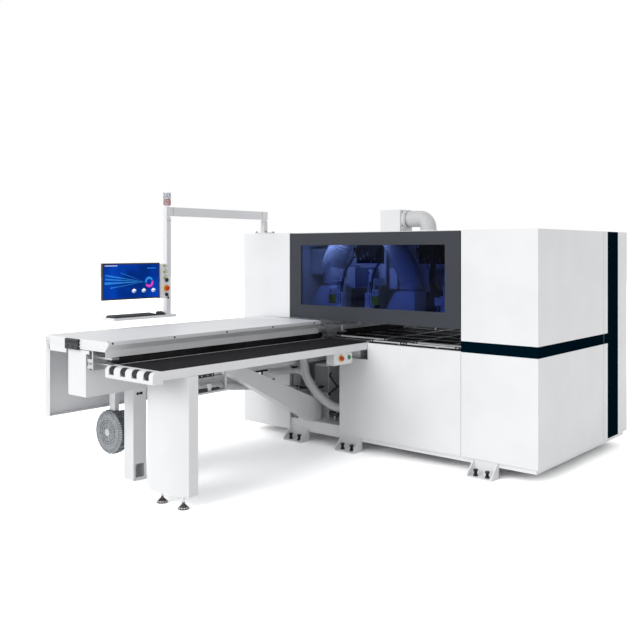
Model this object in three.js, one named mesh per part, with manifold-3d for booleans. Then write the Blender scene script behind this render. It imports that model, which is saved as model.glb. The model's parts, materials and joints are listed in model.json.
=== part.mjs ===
// A six-sided CNC drilling machine: an enclosed drilling chamber with an infeed table and a clamp feed beam
// that stand out in front of it, and an operator console on a swivelling arm.
// Millimetres, +Z up. The front of the enclosure faces -Y, and the origin is on the floor at the middle of
// the machine's plan. Inside, places are measured from the enclosure's front right corner: x runs to minus
// the width, y runs to the depth behind the front and to minus the reach ahead of it.
import * as THREE from "three";
import { mergeVertices } from "three/addons/utils/BufferGeometryUtils.js";
import Module from "manifold-3d";

const wasm = await Module();
wasm.setup();

// Driving dimensions

const seat = 0.3; // clearance between pieces that touch
const overrun = 2; // how far a cutting tool runs past what it cuts
const weld = 0.001; // vertices closer than this are one vertex

const enclosure = {
  width: 3070,
  depth: 1800,
  top: 1904,
  hem: 124, // lower edge of the right cladding above the floor
  leftHem: 86,
  panel: 25, // depth of a folded panel
  leftFront: 600, // width of the left front face
  leftCabinet: 455, // width of the closed left cabinet behind it
  right: 648,
  reach: 2300, // how far the feed hood stands out in front
};

// Many places below are a distance from an edge, so that they move with it: fromLeft is in from the
// enclosure's left side, fromOpening is past the opening's right edge, fromReach is behind the front end of
// the feed side, fromArm is ahead of the console's post, and fromTop is above the enclosure's top.
const base = { gap: 85, high: 105, wide: 100, sheet: 8, columnDeep: 270, fromLeft: { crossMiddle: 1510 } };
const stand = { wide: 89, deep: 100, front: 60, rear: 1560 };
const tableStand = {
  fromLeft: { left: 1390 },
  fromOpening: { right: 42 },
  wide: 90,
  front: 50,
  rear: 1640,
};
const braceFoot = { high: 212, fromLeft: { left: 686, right: 881 } };

const bracket = {
  wide: 215,
  project: 118,
  high: 120,
  plate: 12,
  gusset: 10,
  lip: 26, // height of a gusset at the toe
  rightX: 440,
  fromLeft: { middleX: 1320, leftX: 712 },
};
const jack = { radius: 8, head: 13, headHigh: 9, high: 50, pitch: 100, setback: 44 };

const stripe = {
  low: 945,
  high: 86,
  recess: 4,
  thick: 3.4,
  near: 1347, // how far behind the front the upright band starts
  far: 1586,
  slit: 10,
  slitDeep: 2.2,
  slitInset: 24,
};

const roof = { thick: 25, front: 42 };
const rearSlot = { low: 935, high: 1125, fromLeft: { left: 720 }, fromOpening: { right: 52 } };
const lowerPanel = { top: 948, stepTop: 805, gap: 3, fromLeft: { left: 1194, stepX: 1504 } };

const pane = {
  fromLeft: { left: 743 },
  fromOpening: { right: 146 },
  low: 1247,
  fromTop: { high: -115 },
  thick: 5,
  rebate: 12,
};
const door = {
  gap: 8,
  low: 1122,
  topGap: 6,
  proud: 4, // how far the door stands ahead of the enclosure's front
  deep: 36,
  skin: 4,
  pivotInset: 14,
  pivotRadius: 6,
  pivotReach: 16,
  pivotClear: 0.6,
};

const bed = {
  top: 951,
  thick: 40,
  fromLeft: { left: 985 },
  fromOpening: { right: 12 },
  front: 30,
  gapFront: 290,
  gapRear: 600,
  rear: 1765,
  slotWide: 44,
  slotPitch: 190,
  slotInset: 90,
  tie: 60,
};
const bar = { radius: 9, rise: 3 };

const beamUpper = { front: 480, deep: 200, fromTop: { low: -404 }, high: 260 };
const beamLower = { front: 480, deep: 180, low: 470, high: 200 };
const beamWall = { clear: 12, embed: 5 };
const guide = { wide: 26, deep: 24, neck: 4, inset: 34 };
guide.sectionShares = [0.33, 0.5, 0.67]; // where its foot, waist and head begin in its depth

const feedBeam = {
  fromLeft: { left: 511, right: 732 },
  fromReach: { near: 24 },
  far: 1700,
  low: 702,
  high: 293,
};
const feedPlate = { thick: 8, high: 333, tabWide: 38, tabHigh: 26 };
const feedGuide = { level: 945, rackLevel: 903, rackHigh: 12, strip: 6, stripLow: 895 };
const cableBlock = { deep: 75, fromLeft: { left: 502, right: 666 } };

const hood = {
  fromLeft: { left: 220, right: 1012 },
  top: 1115,
  fromReach: { near: 15 },
  far: 32,
  sheet: 5,
  edge: 26, // depth of the upright edge under the top
  tuck: 36, // how far the lip sits in from the edge
  slope: 38,
  lip: 50,
  skirtLow: 512,
  returnWide: 60,
  endLeft: 55, // width of the end cap beside the skirt
  endTop: 112,
  endRight: 74,
};

const beamLeg = {
  fromLeft: { left: 554, right: 668 },
  fromReach: { near: 481, far: 602 },
  wall: 8,
  cutInset: 20,
  cutLow: 22,
  cutHigh: 125,
  boltRadius: 9,
  boltDrop: 45,
};

const table = {
  fromLeft: { left: 981, right: 1500 },
  fromReach: { near: 10 },
  far: bed.front - seat,
  fascia: 20,
  fasciaHigh: 58,
  endDeep: 85,
  endHigh: 83,
  nose: 30,
  toe: 12,
  bed: 14, // thickness of the black top
  cross: 60,
  crossHigh: 41,
  crosses: 6,
};
const roller = { count: 4, radius: 28, wide: 50, slot: 56, axle: 6, clear: 0.4, proud: 2 };
roller.firstShare = 0.135; // of the table's width
roller.pitchShare = 0.243;

const leg = {
  fromLeft: { left: 1060, right: 1508 },
  fromReach: { front: 255, back: 390 },
  low: 80,
  chamferWide: 110,
  chamferDeep: 52,
  wall: 8,
};
const foot = {
  fromLeft: { leftX: 1235, rightX: 1460 },
  fromReach: { y: 300 },
  disc: 38,
  discHigh: 8,
  cone: 13,
  coneHigh: 22,
  stem: 7,
  nut: 12,
  nutHigh: 10,
};

const brace = {
  fromLeft: { left: 780, right: 880, tieRight: 1030 },
  heel: 180,
  heelHigh: 225,
  top: 812,
  fromReach: { tipNear: 1135, tipFar: 1360 },
};

const blower = {
  fromLeft: { x: 378, outletX: 466 },
  fromReach: { y: 454 }, // front of the fan cover
  z: 333,
  radius: 166,
  coverDeep: 84,
  ringRadius: 150,
  ringDeep: 118,
  motorRadius: 92,
  motorDeep: 90,
  eye: 30,
  mouth: 104,
  skin: 7,
  ribs: 12,
  ribWide: 7,
  fins: 24,
  finHigh: 5,
  finWide: 5,
  hangerWide: 70,
  hangerDeep: 40,
  outlet: 41,
  outletTop: 500,
};
const fan = { hub: 34, blades: 9, blade: 96, bladeWide: 5, deep: 30, inset: 14, bore: 9, bladeTurn: 0.5 };

const post = {
  fromLeft: { x: 220 },
  y: 50,
  side: 50,
  cutCorner: 4,
  flange: 150,
  flangeHigh: 10,
  bolt: 8,
  boltHigh: 9,
  boltInset: 18,
  fromTop: { top: 118 },
};
const arm = { reach: 1184, fromTop: { low: 132 }, high: 76, collar: 27, collarHigh: 13 };
const light = { radius: 33, foot: 22, footHigh: 14, high: 132, ring: 4 };

const tray = {
  fromLeft: { back: 140, front: 300 },
  fromArm: { near: 592, far: -38 },
  low: 1180,
  thick: 18,
  lipHigh: 4,
  lipWide: 6,
};
const panelBox = {
  fromLeft: { front: 300 },
  fromArm: { near: 134, far: 26 },
  deep: 55,
  low: 1341,
  high: 289,
};
const strap = { thick: 16, high: 38, upper: 1560, lower: 1390, vesa: 1480 };
const monitor = {
  fromLeft: { front: 290 },
  deep: 22,
  fromArm: { near: 697, far: 135 },
  low: 1347,
  high: 293,
  bezel: 10,
  glass: 1.6,
  back: 18, // depth of the bulge behind the screen
  backShare: 0.32, // of the width and height, on each side of the bulge
};
const keys = {
  fromLeft: { back: 162, front: 282 },
  fromArm: { near: 574, far: 141 },
  high: 11,
  tilt: 9,
  rows: 5,
  rowGap: 5,
  groove: 3,
};
const mouse = {
  fromLeft: { x: 228 },
  fromArm: { y: 79 },
  long: 98,
  wide: 60,
  high: 34,
  cord: 2.5,
  cordSteps: 8,
};

const button = {
  fromArm: { y: 72 },
  rowShares: [0.8789, 0.7024, 0.5294], // places up the panel box's height, as those below
  ring: 16,
  lift: 5,
  proud: 7,
  chamfer: 1,
  stem: 6,
  sunk: 16,
};
const stop = { rowShare: 0.2941, neck: 10, neckHigh: 12, head: 20, headHigh: 13, dome: 4 };
const boreClear = 0.5; // round a button's stem
const knob = { rowShare: 0.1107, radius: 12, high: 16, grip: 4, gripHigh: 8 };
const key = { rowShare: 0.0138, fromArm: { y: 58 }, radius: 9, high: 8 };
const tableBox = {
  fromLeft: { left: 1390, right: 1470 },
  near: 412,
  far: 170,
  low: 792,
  stopY: 320,
  startY: 213,
  z: 845,
};

const clamp = {
  fromReach: { firstY: 100 },
  secondY: 350,
  long: 150,
  block: 44,
  blockHigh: 66,
  plate: 14,
  low: 902,
  high: 150,
  fromLeft: { reachRight: 975 },
  lower: 949,
  lowerThick: 8,
  bridge: 982,
  bridgeThick: 14,
  cylinder: 20,
  cylinderHigh: 46,
  rod: 6,
  jaw: 60,
  jawHigh: 10,
  jawTop: 976,
  nipple: 7,
  nippleHigh: 12,
};

const head = {
  placeShares: [0.69813, 0.236], // of the opening, from its right edge
  plateShare: 0.27442, // the plate's width, of the opening's
  plateFront: 412,
  plateDeep: 20,
  plateLow: 1430,
  fromTop: { plateTop: -104 },
  blockWide: 90,
  grip: 52,
};
// Where the push pads, the ribbed motor and the hose's bends sit, as shares of the plate's width.
const pressShares = [[-0.24, 0.42], [0.3]];
const motorShares = [0.17, 0.1];
const hoseBendShares = [
  [0, -0.06, 0.04, 0.14],
  [0, -0.1, -0.26, -0.36],
];
const hoodShiftShares = [-0.5, -0.48];
const dustHood = {
  rises: [30, 0],
  wideShare: 0.66, // of the plate's width
  mountShare: 0.33,
  neck: 196,
  low: 1180,
  top: 1385,
  near: 205,
  far: 398,
  wall: 5,
  collarHigh: 26,
};
const hose = {
  radius: 98,
  bore: 88,
  rib: 5,
  ribs: 26,
  boreStep: 10,
  riseShares: [0.12, 0.4, 0.68, 0.88], // heights of the bends
  fromTop: { top: -52 },
  ringHigh: 22,
  ringWide: 18,
  ringClear: 8,
  bracket: 12,
};
const ridge = {
  motorShare: 0.38, // its width, of the plate's
  motorNear: 296,
  motorFar: 398,
  motorLow: 1390,
  motorHigh: 195,
  fins: 8,
  finDeep: 14,
  grooveShare: 0.45, // of the pitch of the fins
};
const drill = {
  wideShare: 0.44, // of the plate's width
  near: 262,
  far: 398,
  low: 1190,
  high: 200,
  noseHigh: 26,
  chuck: 11,
  chuckHigh: 34,
  rows: 3,
  pitchShare: 0.064,
};
const press = {
  wide: 62,
  near: 196,
  deep: 60,
  low: 1236,
  high: 128,
  rod: 7,
  rodHigh: 96,
  padHigh: 22,
  padInset: 8,
};
const spindle = { collet: 20, colletHigh: 48, shank: 6, shankHigh: 52, y: 300 };

const lower = {
  placeShare: 0.4676, // of the opening, from its right edge
  wide: 300,
  blockWide: 220,
  near: 345,
  low: 480,
  top: 852,
  chuck: 12,
  chuckHigh: 62,
  motorNear: 300,
  motorLow: 520,
  motorHigh: 220,
  motorOffset: 75,
  motorRadius: 50,
};

const duct = {
  fromLeft: { left: 1203, right: 1425 },
  near: 600,
  far: 800,
  fromTop: { top: 214 },
  flange: 24,
  flangeHigh: 6,
};
const roofHose = {
  fromLeft: { endX: 1670 },
  radius: 75,
  bore: 67,
  rib: 4,
  ribs: 18,
  boreStep: 4,
  fromTop: { z: 128 },
  collar: 82,
  collarHigh: 20,
  bend: 90,
};

// The bay hoses' bends: how far each lies from the hose's start. The air hose's are shares of its sway to
// the right, of its run and of the height left under the feed beam; the others' are shares of their run.
const airHoseShares = [
  [0, 0, 0.3456],
  [0.1317, 0.0476, 0.6926],
  [0.5509, 0.1193, 0.767],
  [1, 0.2217, 0.7918],
  [0.8054, 0.4532, 0.4943],
  [0.6707, 0.6673, 0.1968],
  [0.5075, 0.9029, -0.299],
  [0.5075, 0.9592, -0.3981],
];
const dustHoseShares = [
  [-0.2394, 0, 0],
  [-0.771, -0.0888, -0.0656],
  [-1.2344, -0.2239, -0.1042],
  [-1.5046, -0.3398, 0.1737],
  [-1.4853, -0.417, 0.5598],
  [-1.2421, -0.4556, 0.7915],
];
const bendHoseShares = [
  [0, 0, -0.1679],
  [0.0421, 0.0253, -0.4207],
  [0.2001, 0.1517, -0.7367],
  [0.474, 0.2823, -0.9579],
  [0.7268, 0.3097, -0.9789],
];
const airHose = { radius: 34, bore: 28, rib: 3, ribs: 40, boreStep: 2, endZ: 420, sway: 334 };
const dustHose = {
  fromLeft: { branchX: 770 },
  radius: 29,
  bore: 24,
  rib: 3,
  ribs: 20,
  boreStep: 2,
  branchZ: 645,
  branchY: 52,
  inletY: 170,
  inletZ: 850,
};
const bendHose = { fromLeft: { x: 825 }, radius: 40, sides: 10, steps: 18, y: 52, endZ: 335 };
const greyBox = { fromLeft: { left: 740, right: 908 }, near: 200, far: 420, high: 489 };
const whiteBox = { fromLeft: { left: 546, right: 725 }, near: 250, far: 440, high: 302 };
const manifold = { fromLeft: { right: 870 }, near: 130, far: 4, low: 800, high: 90 };

// Sizes that follow from the others

const opening = enclosure.width - enclosure.leftFront - enclosure.right; // between the two cabinets
const edges = {
  fromLeft: (inset) => enclosure.width - inset,
  fromOpening: (margin) => enclosure.right + margin,
  fromReach: (setback) => enclosure.reach - setback,
  fromArm: (ahead) => arm.reach - post.y + ahead,
  fromTop: (rise) => enclosure.top + rise,
};
const settled = [
  [base, tableStand, braceFoot, bracket, rearSlot, lowerPanel, pane, bed],
  [feedBeam, cableBlock, hood, beamLeg, table, leg, foot, brace, blower, clamp],
  [post, tray, panelBox, monitor, keys, mouse, button, key, tableBox],
  [duct, roofHose, dustHose, bendHose, greyBox, whiteBox, manifold],
  [beamUpper, arm, head, hose],
];
for (const part of settled.flat()) {
  for (const [edge, place] of Object.entries(edges)) {
    for (const [name, by] of Object.entries(part[edge] ?? {})) part[name] = place(by);
  }
}
head.plateWide = opening * head.plateShare;
dustHood.wide = head.plateWide * dustHood.wideShare;
ridge.motorWide = head.plateWide * ridge.motorShare;
drill.wide = head.plateWide * drill.wideShare;
drill.pitch = head.plateWide * drill.pitchShare;
const panelRow = (share) => panelBox.low + share * panelBox.high;
button.rows = button.rowShares.map(panelRow);
stop.z = panelRow(stop.rowShare);
knob.z = panelRow(knob.rowShare);
key.z = panelRow(key.rowShare);

// Finishes: colour, roughness, metalness

const finishes = {
  white: [0xeceded, 0.38, 0],
  grey: [0xb9bdc0, 0.45, 0],
  offWhite: [0xe2e2de, 0.5, 0],
  dark: [0x4c4e53, 0.45, 0.1],
  stripe: [0x001c26, 0.35, 0],
  glass: [0x2b3f9a, 0.1, 0],
  black: [0x1c1c1f, 0.6, 0],
  felt: [0x38383c, 0.9, 0],
  steel: [0x9aa0a5, 0.35, 0.8],
  castGrey: [0x8b9194, 0.5, 0.5],
  red: [0xc7281e, 0.4, 0],
  green: [0x2f9e62, 0.4, 0],
  hose: [0xd9dadb, 0.5, 0],
  lamp: [0xe8b8b4, 0.25, 0],
};

// How many flat faces a round piece gets
const faces = { broad: 24, smooth: 16, plain: 12, small: 8, hose: 8, cord: 6, hex: 6 };

// Shape helpers

function solid(geometry) {
  const bare = geometry.index ? geometry.toNonIndexed() : geometry.clone();
  bare.deleteAttribute("normal");
  bare.deleteAttribute("uv");
  const merged = mergeVertices(bare, weld);
  const corners = merged.index.array;
  const kept = [];
  for (let i = 0; i < corners.length; i += 3) {
    const [a, b, c] = [corners[i], corners[i + 1], corners[i + 2]];
    if (a !== b && b !== c && c !== a) kept.push(a, b, c);
  }
  const triVerts = new Uint32Array(kept);
  const vertProperties = merged.attributes.position.array;
  return new wasm.Manifold(new wasm.Mesh({ numProp: 3, vertProperties, triVerts }));
}

const join = (...shapes) => shapes.flat().reduce((sum, shape) => sum.add(shape));
const cut = (shape, ...tools) => tools.flat().reduce((left, tool) => left.subtract(tool), shape);
const repeat = (count, make) => Array.from({ length: count }, (_, i) => make(i));

// A rectangular block between two values on each axis.
function block(x0, x1, y0, y1, z0, z1) {
  const box = new THREE.BoxGeometry(x1 - x0, y1 - y0, z1 - z0);
  return solid(box.translate((x0 + x1) / 2, (y0 + y1) / 2, (z0 + z1) / 2));
}

const frames = {
  x: [new THREE.Vector3(0, 1, 0), new THREE.Vector3(0, 0, 1), new THREE.Vector3(1, 0, 0)],
  y: [new THREE.Vector3(0, 0, 1), new THREE.Vector3(1, 0, 0), new THREE.Vector3(0, 1, 0)],
  z: [new THREE.Vector3(1, 0, 0), new THREE.Vector3(0, 1, 0), new THREE.Vector3(0, 0, 1)],
};

// Turns a shape made along its own z to lie along an axis of the machine.
function along(axis, geometry) {
  return geometry.applyMatrix4(new THREE.Matrix4().makeBasis(...frames[axis]));
}

const anticlockwise = (points) => (THREE.ShapeUtils.isClockWise(points) ? points.reverse() : points);

// An outline pushed along an axis. Its points are (y, z) along x, (x, z) along y and (x, y) along z.
function profile(axis, points, from, to, holes = []) {
  const turn = axis === "y" ? ([a, b]) => new THREE.Vector2(b, a) : ([a, b]) => new THREE.Vector2(a, b);
  const shape = new THREE.Shape(anticlockwise(points.map(turn)));
  for (const hole of holes) shape.holes.push(new THREE.Path(hole.map(turn)));
  const pushed = new THREE.ExtrudeGeometry(shape, { depth: to - from, bevelEnabled: false });
  return solid(along(axis, pushed.translate(0, 0, from)));
}

const rectangle = (a0, a1, b0, b1) => [[a0, b0], [a1, b0], [a1, b1], [a0, b1]];

// A round bar along an axis through the point at, given as in profile.
function rod(axis, [a, b], radius, from, to, sides = faces.plain) {
  const round = new THREE.CylinderGeometry(radius, radius, to - from, sides);
  round.rotateX(Math.PI / 2).translate(0, 0, (from + to) / 2);
  const [u, v] = axis === "y" ? [b, a] : [a, b];
  return solid(along(axis, round.translate(u, v, 0)));
}

// A turned piece: its profile is a list of (radius, place along the axis).
function turned(axis, [a, b], points, sides = faces.smooth) {
  const outline = anticlockwise(points.map(([r, h]) => new THREE.Vector2(r, h)));
  const round = new THREE.LatheGeometry(outline, sides).rotateX(Math.PI / 2);
  const [u, v] = axis === "y" ? [b, a] : [a, b];
  return solid(along(axis, round.translate(u, v, 0)));
}

// A smooth tube along a route.
function tube(points, radius, sides, steps) {
  const route = new THREE.CatmullRomCurve3(points.map((p) => new THREE.Vector3(...p)));
  const ring = new THREE.Shape(
    repeat(sides, (i) => {
      const angle = (2 * Math.PI * i) / sides;
      return new THREE.Vector2(radius * Math.cos(angle), radius * Math.sin(angle));
    }),
  );
  return solid(new THREE.ExtrudeGeometry(ring, { extrudePath: route, steps, bevelEnabled: false }));
}

// A ribbed hose along a route: crests and valleys take turns outside, and a plain bore runs inside, with
// one of its rings for every boreStep rings outside.
function ribbedHose(points, { radius, bore, rib, ribs, boreStep }) {
  const route = new THREE.CatmullRomCurve3(points.map((p) => new THREE.Vector3(...p)));
  const rings = 2 * ribs;
  const sides = faces.hose;
  const turns = route.computeFrenetFrames(rings, false);
  const positions = [];
  const corners = [];
  const ringAt = (i, size) => {
    const centre = route.getPointAt(i / rings);
    const start = positions.length / 3;
    for (let k = 0; k < sides; k += 1) {
      const angle = (2 * Math.PI * k) / sides;
      const spoke = turns.normals[i].clone().multiplyScalar(size * Math.cos(angle));
      spoke.addScaledVector(turns.binormals[i], size * Math.sin(angle));
      positions.push(...centre.clone().add(spoke).toArray());
    }
    return start;
  };
  const bridge = (low, high, outward) => {
    for (let k = 0; k < sides; k += 1) {
      const next = (k + 1) % sides;
      const quad = [low + k, low + next, high + next, high + k];
      const [a, b, c, d] = outward ? quad : [...quad].reverse();
      corners.push(a, b, c, a, c, d);
    }
  };
  const outer = repeat(rings + 1, (i) => ringAt(i, i % 2 ? radius : radius - rib));
  const innerPlaces = repeat(Math.ceil(rings / boreStep) + 1, (i) => Math.min(i * boreStep, rings));
  const inner = innerPlaces.map((i) => ringAt(i, bore));
  for (let i = 0; i < rings; i += 1) bridge(outer[i], outer[i + 1], true);
  for (let i = 0; i < inner.length - 1; i += 1) bridge(inner[i], inner[i + 1], false);
  bridge(inner[0], outer[0], true);
  bridge(outer[rings], inner[inner.length - 1], true);
  const skin = new THREE.BufferGeometry();
  skin.setAttribute("position", new THREE.Float32BufferAttribute(positions, 3));
  skin.setIndex(corners);
  return solid(skin);
}

const machine = new THREE.Group();
machine.name = "six_sided_drilling_machine";
const rearReach = enclosure.depth - enclosure.panel - seat + bracket.project;
machine.position.set(enclosure.width / 2, (enclosure.reach - rearReach) / 2, 0);

// Adds one named sub-part.
function piece(name, shape, finish) {
  const made = shape.getMesh();
  const skin = new THREE.BufferGeometry();
  skin.setAttribute("position", new THREE.BufferAttribute(made.vertProperties, 3));
  skin.setIndex(new THREE.BufferAttribute(made.triVerts, 1));
  const flat = skin.toNonIndexed();
  flat.computeVertexNormals();
  const [color, roughness, metalness] = finishes[finish];
  const mesh = new THREE.Mesh(flat, new THREE.MeshStandardMaterial({ color, roughness, metalness }));
  mesh.name = name;
  machine.add(mesh);
}

// Places that several pieces share

const leftSide = -enclosure.width;
const leftFrontEdge = leftSide + enclosure.leftFront;
const innerWall = leftSide + enclosure.leftCabinet; // chamber side of the left cabinet's inner wall
const rightFace = -enclosure.right;
const railFront = enclosure.panel + seat;
const railRear = enclosure.depth - railFront;
const railLeft = leftSide + railFront;
const railRight = -railFront;
const railTop = base.gap + base.high;
const beamLeftEnd = innerWall - enclosure.panel - base.wide - beamWall.embed;
const beamRightEnd = rightFace + enclosure.panel + base.wide + beamWall.embed;

// Standing frame

function baseFrame() {
  const ring = cut(
    block(railLeft, railRight, railFront, railRear, base.gap, railTop),
    block(
      railLeft + base.wide,
      railRight - base.wide,
      railFront + base.wide,
      railRear - base.wide,
      base.gap - overrun,
      railTop + overrun,
    ),
  );
  const crossBar = (x) => block(x, x + base.wide, railFront, railRear, base.gap, railTop);
  const columnLow = railTop - overrun;
  const columnTop = beamUpper.low - seat;
  const column = (x) =>
    block(x, x + base.wide, beamUpper.front, beamUpper.front + base.columnDeep, columnLow, columnTop);
  const columnLeft = innerWall - enclosure.panel - base.wide - seat;
  const columnRight = rightFace + enclosure.panel + seat;
  const lowerHole = (x) =>
    block(
      x - overrun,
      x + base.wide + overrun,
      beamLower.front - overrun,
      beamLower.front + beamLower.deep + seat,
      beamLower.low - seat,
      beamLower.low + beamLower.high + seat,
    );
  const floorPan = block(
    leftFrontEdge - base.wide,
    -base.crossMiddle,
    railFront,
    beamLower.front + beamLower.deep,
    railTop - base.sheet,
    railTop,
  );
  const feedStand = (y) =>
    block(
      -feedBeam.left,
      -feedBeam.left + stand.wide,
      y,
      y + stand.deep,
      columnLow,
      feedBeam.low - seat,
    );
  const bedStand = (x, y) =>
    block(x, x + tableStand.wide, y, y + tableStand.wide, columnLow, bed.top - bed.thick - seat);
  const heel = block(
    -braceFoot.left,
    -braceFoot.right,
    railFront,
    railFront + base.wide,
    columnLow,
    railTop + braceFoot.high,
  );
  const bearer = (y) =>
    block(-tableStand.left - tableStand.wide, -enclosure.right, y, y + tableStand.wide, base.gap, railTop);
  return join(
    ring,
    [innerWall - enclosure.panel - base.wide, -base.crossMiddle, rightFace - base.wide].map(crossBar),
    block(-feedBeam.left, -feedBeam.left + base.wide, railFront, railRear, base.gap, railTop),
    bearer(tableStand.rear),
    cut(column(columnLeft), lowerHole(columnLeft)),
    cut(column(columnRight), lowerHole(columnRight)),
    block(columnLeft, columnLeft + base.wide, railFront, railRear, base.gap, railTop),
    block(columnRight, columnRight + base.wide, railFront, railRear, base.gap, railTop),
    floorPan,
    feedStand(stand.front),
    feedStand(stand.rear),
    [tableStand.front, tableStand.rear].flatMap((y) => [
      bedStand(-tableStand.left - tableStand.wide, y),
      bedStand(-tableStand.right - tableStand.wide, y),
    ]),
    heel,
    bracketPlaces.flatMap(([x, rear]) => [footBracket(x, rear), ...jackBolts(x, rear)]),
  );
}

// One foot bracket at x, on the front rail or turned round on the rear rail.
function footBracket(x, rear) {
  const face = rear ? railRear : railFront;
  const out = rear ? 1 : -1;
  const toe = face + out * bracket.project;
  const back = face + out * bracket.gusset;
  const start = face - out * overrun;
  const side = [
    [start, 0],
    [toe, 0],
    [toe, bracket.lip],
    [back, bracket.high],
    [start, bracket.high],
  ];
  const left = x - bracket.wide / 2;
  const right = x + bracket.wide / 2;
  return join(
    profile("x", side, left, left + bracket.gusset),
    profile("x", side, right - bracket.gusset, right),
    block(left, right, Math.min(start, toe), Math.max(start, toe), 0, bracket.plate),
    block(left, right, Math.min(start, back), Math.max(start, back), 0, bracket.high),
  );
}

const bracketPlaces = [bracket.rightX, bracket.middleX, bracket.leftX].flatMap((x) => [
  [-x, false],
  [-x, true],
]);

function jackBolt(x, y) {
  const low = bracket.plate - overrun;
  const headLow = low + jack.high - jack.headHigh;
  return turned(
    "z",
    [x, y],
    [
      [0, low],
      [jack.radius, low],
      [jack.radius, headLow],
      [jack.head, headLow],
      [jack.head, low + jack.high],
      [0, low + jack.high],
    ],
    faces.hex,
  );
}

function tableFoot(x) {
  const top = leg.low + overrun;
  return turned(
    "z",
    [x, -foot.y],
    [
      [0, 0],
      [foot.disc, 0],
      [foot.disc, foot.discHigh],
      [foot.cone, foot.discHigh + foot.coneHigh],
      [foot.stem, foot.discHigh + foot.coneHigh],
      [foot.stem, top - foot.nutHigh],
      [foot.nut, top - foot.nutHigh],
      [foot.nut, top],
      [0, top],
    ],
    faces.plain,
  );
}

function jackBolts(x, rear) {
  const toe = rear ? railRear + bracket.project : railFront - bracket.project;
  const y = toe + (rear ? -jack.setback : jack.setback);
  return [jackBolt(x - jack.pitch / 2, y), jackBolt(x + jack.pitch / 2, y)];
}

// Enclosure

// The two cross beams pass through a cabinet's inner wall with room round them.
function beamHoles(from, to) {
  return [beamUpper, beamLower].map((beam) =>
    block(
      from - overrun,
      to + overrun,
      beam.front - beamWall.clear,
      beam.front + beam.deep + beamWall.clear,
      beam.low - beamWall.clear,
      beam.low + beam.high + beamWall.clear,
    ),
  );
}

function leftCabinet() {
  const inside = enclosure.top - enclosure.panel;
  const belly = enclosure.leftHem - overrun;
  const pivotY = door.pivotInset;
  const pivotZ = enclosure.top - door.topGap - door.pivotInset;
  return cut(
    block(leftSide, leftFrontEdge, 0, enclosure.depth, enclosure.leftHem, enclosure.top),
    block(
      leftSide + enclosure.panel,
      innerWall - enclosure.panel,
      enclosure.panel,
      enclosure.depth - enclosure.panel,
      belly,
      inside,
    ),
    block(
      innerWall,
      leftFrontEdge + overrun,
      enclosure.panel,
      enclosure.depth - enclosure.panel,
      belly,
      inside,
    ),
    block(
      innerWall + door.skin,
      leftFrontEdge + overrun,
      -overrun,
      enclosure.panel + overrun,
      feedBeam.low - beamWall.clear,
      hood.top + seat,
    ),
    block(
      innerWall - enclosure.panel - overrun,
      innerWall + overrun,
      enclosure.panel,
      railFront + base.wide + seat,
      belly,
      railTop + seat,
    ),
    block(
      innerWall - enclosure.panel - overrun,
      innerWall + overrun,
      railRear - base.wide - seat,
      enclosure.depth - enclosure.panel,
      belly,
      railTop + seat,
    ),
    beamHoles(innerWall - enclosure.panel, innerWall),
    rod(
      "x",
      [pivotY, pivotZ],
      door.pivotRadius + door.pivotClear,
      leftFrontEdge - door.pivotReach,
      leftFrontEdge + overrun,
    ),
  );
}

function rightCabinet() {
  const inside = enclosure.top - enclosure.panel;
  const belly = enclosure.hem - overrun;
  const pivotZ = enclosure.top - door.topGap - door.pivotInset;
  const bandTop = stripe.low + stripe.high;
  const front = block(rightFace - overrun, overrun, -overrun, stripe.recess, stripe.low, bandTop);
  const side = block(-stripe.recess, overrun, -overrun, stripe.near + overrun, stripe.low, bandTop);
  const upright = block(
    -stripe.recess,
    overrun,
    stripe.near,
    stripe.far,
    enclosure.hem - overrun,
    enclosure.top + overrun,
  );
  return cut(
    block(rightFace, 0, 0, enclosure.depth, enclosure.hem, enclosure.top),
    block(
      rightFace + enclosure.panel,
      -enclosure.panel,
      enclosure.panel,
      enclosure.depth - enclosure.panel,
      belly,
      inside,
    ),
    front,
    side,
    upright,
    block(
      rightFace - overrun,
      rightFace + enclosure.panel + overrun,
      enclosure.panel,
      railFront + base.wide + seat,
      belly,
      railTop + seat,
    ),
    block(
      rightFace - overrun,
      rightFace + enclosure.panel + overrun,
      railRear - base.wide - seat,
      enclosure.depth - enclosure.panel,
      belly,
      railTop + seat,
    ),
    block(
      rightFace - overrun,
      rightFace + enclosure.panel + overrun,
      tableStand.rear - seat,
      tableStand.rear + tableStand.wide + seat,
      belly,
      railTop + seat,
    ),
    beamHoles(rightFace, rightFace + enclosure.panel),
    rod(
      "x",
      [door.pivotInset, pivotZ],
      door.pivotRadius + door.pivotClear,
      rightFace - overrun,
      rightFace + door.pivotReach,
    ),
  );
}

// The dark band lies in its recess a little below the cabinet's face, and two slits split the upright band.
function accentStripe() {
  const floor = stripe.recess - seat;
  const face = floor - stripe.thick;
  const slitFloor = face + stripe.slitDeep;
  const near = stripe.near + seat;
  const far = stripe.far - seat;
  const firstSlit = stripe.near + stripe.slitInset;
  const lastSlit = stripe.far - stripe.slitInset;
  const upright = [
    [-floor, near],
    [-floor, far],
    [-face, far],
    [-face, lastSlit],
    [-slitFloor, lastSlit],
    [-slitFloor, lastSlit - stripe.slit],
    [-face, lastSlit - stripe.slit],
    [-face, firstSlit + stripe.slit],
    [-slitFloor, firstSlit + stripe.slit],
    [-slitFloor, firstSlit],
    [-face, firstSlit],
    [-face, near],
  ];
  const band = [
    [rightFace + seat, face],
    [-face, face],
    [-face, near + overrun],
    [-floor, near + overrun],
    [-floor, floor],
    [rightFace + seat, floor],
  ];
  return join(
    profile("z", upright, enclosure.hem + seat, enclosure.top - seat),
    profile("z", band, stripe.low + seat, stripe.low + stripe.high - seat),
  );
}

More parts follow.
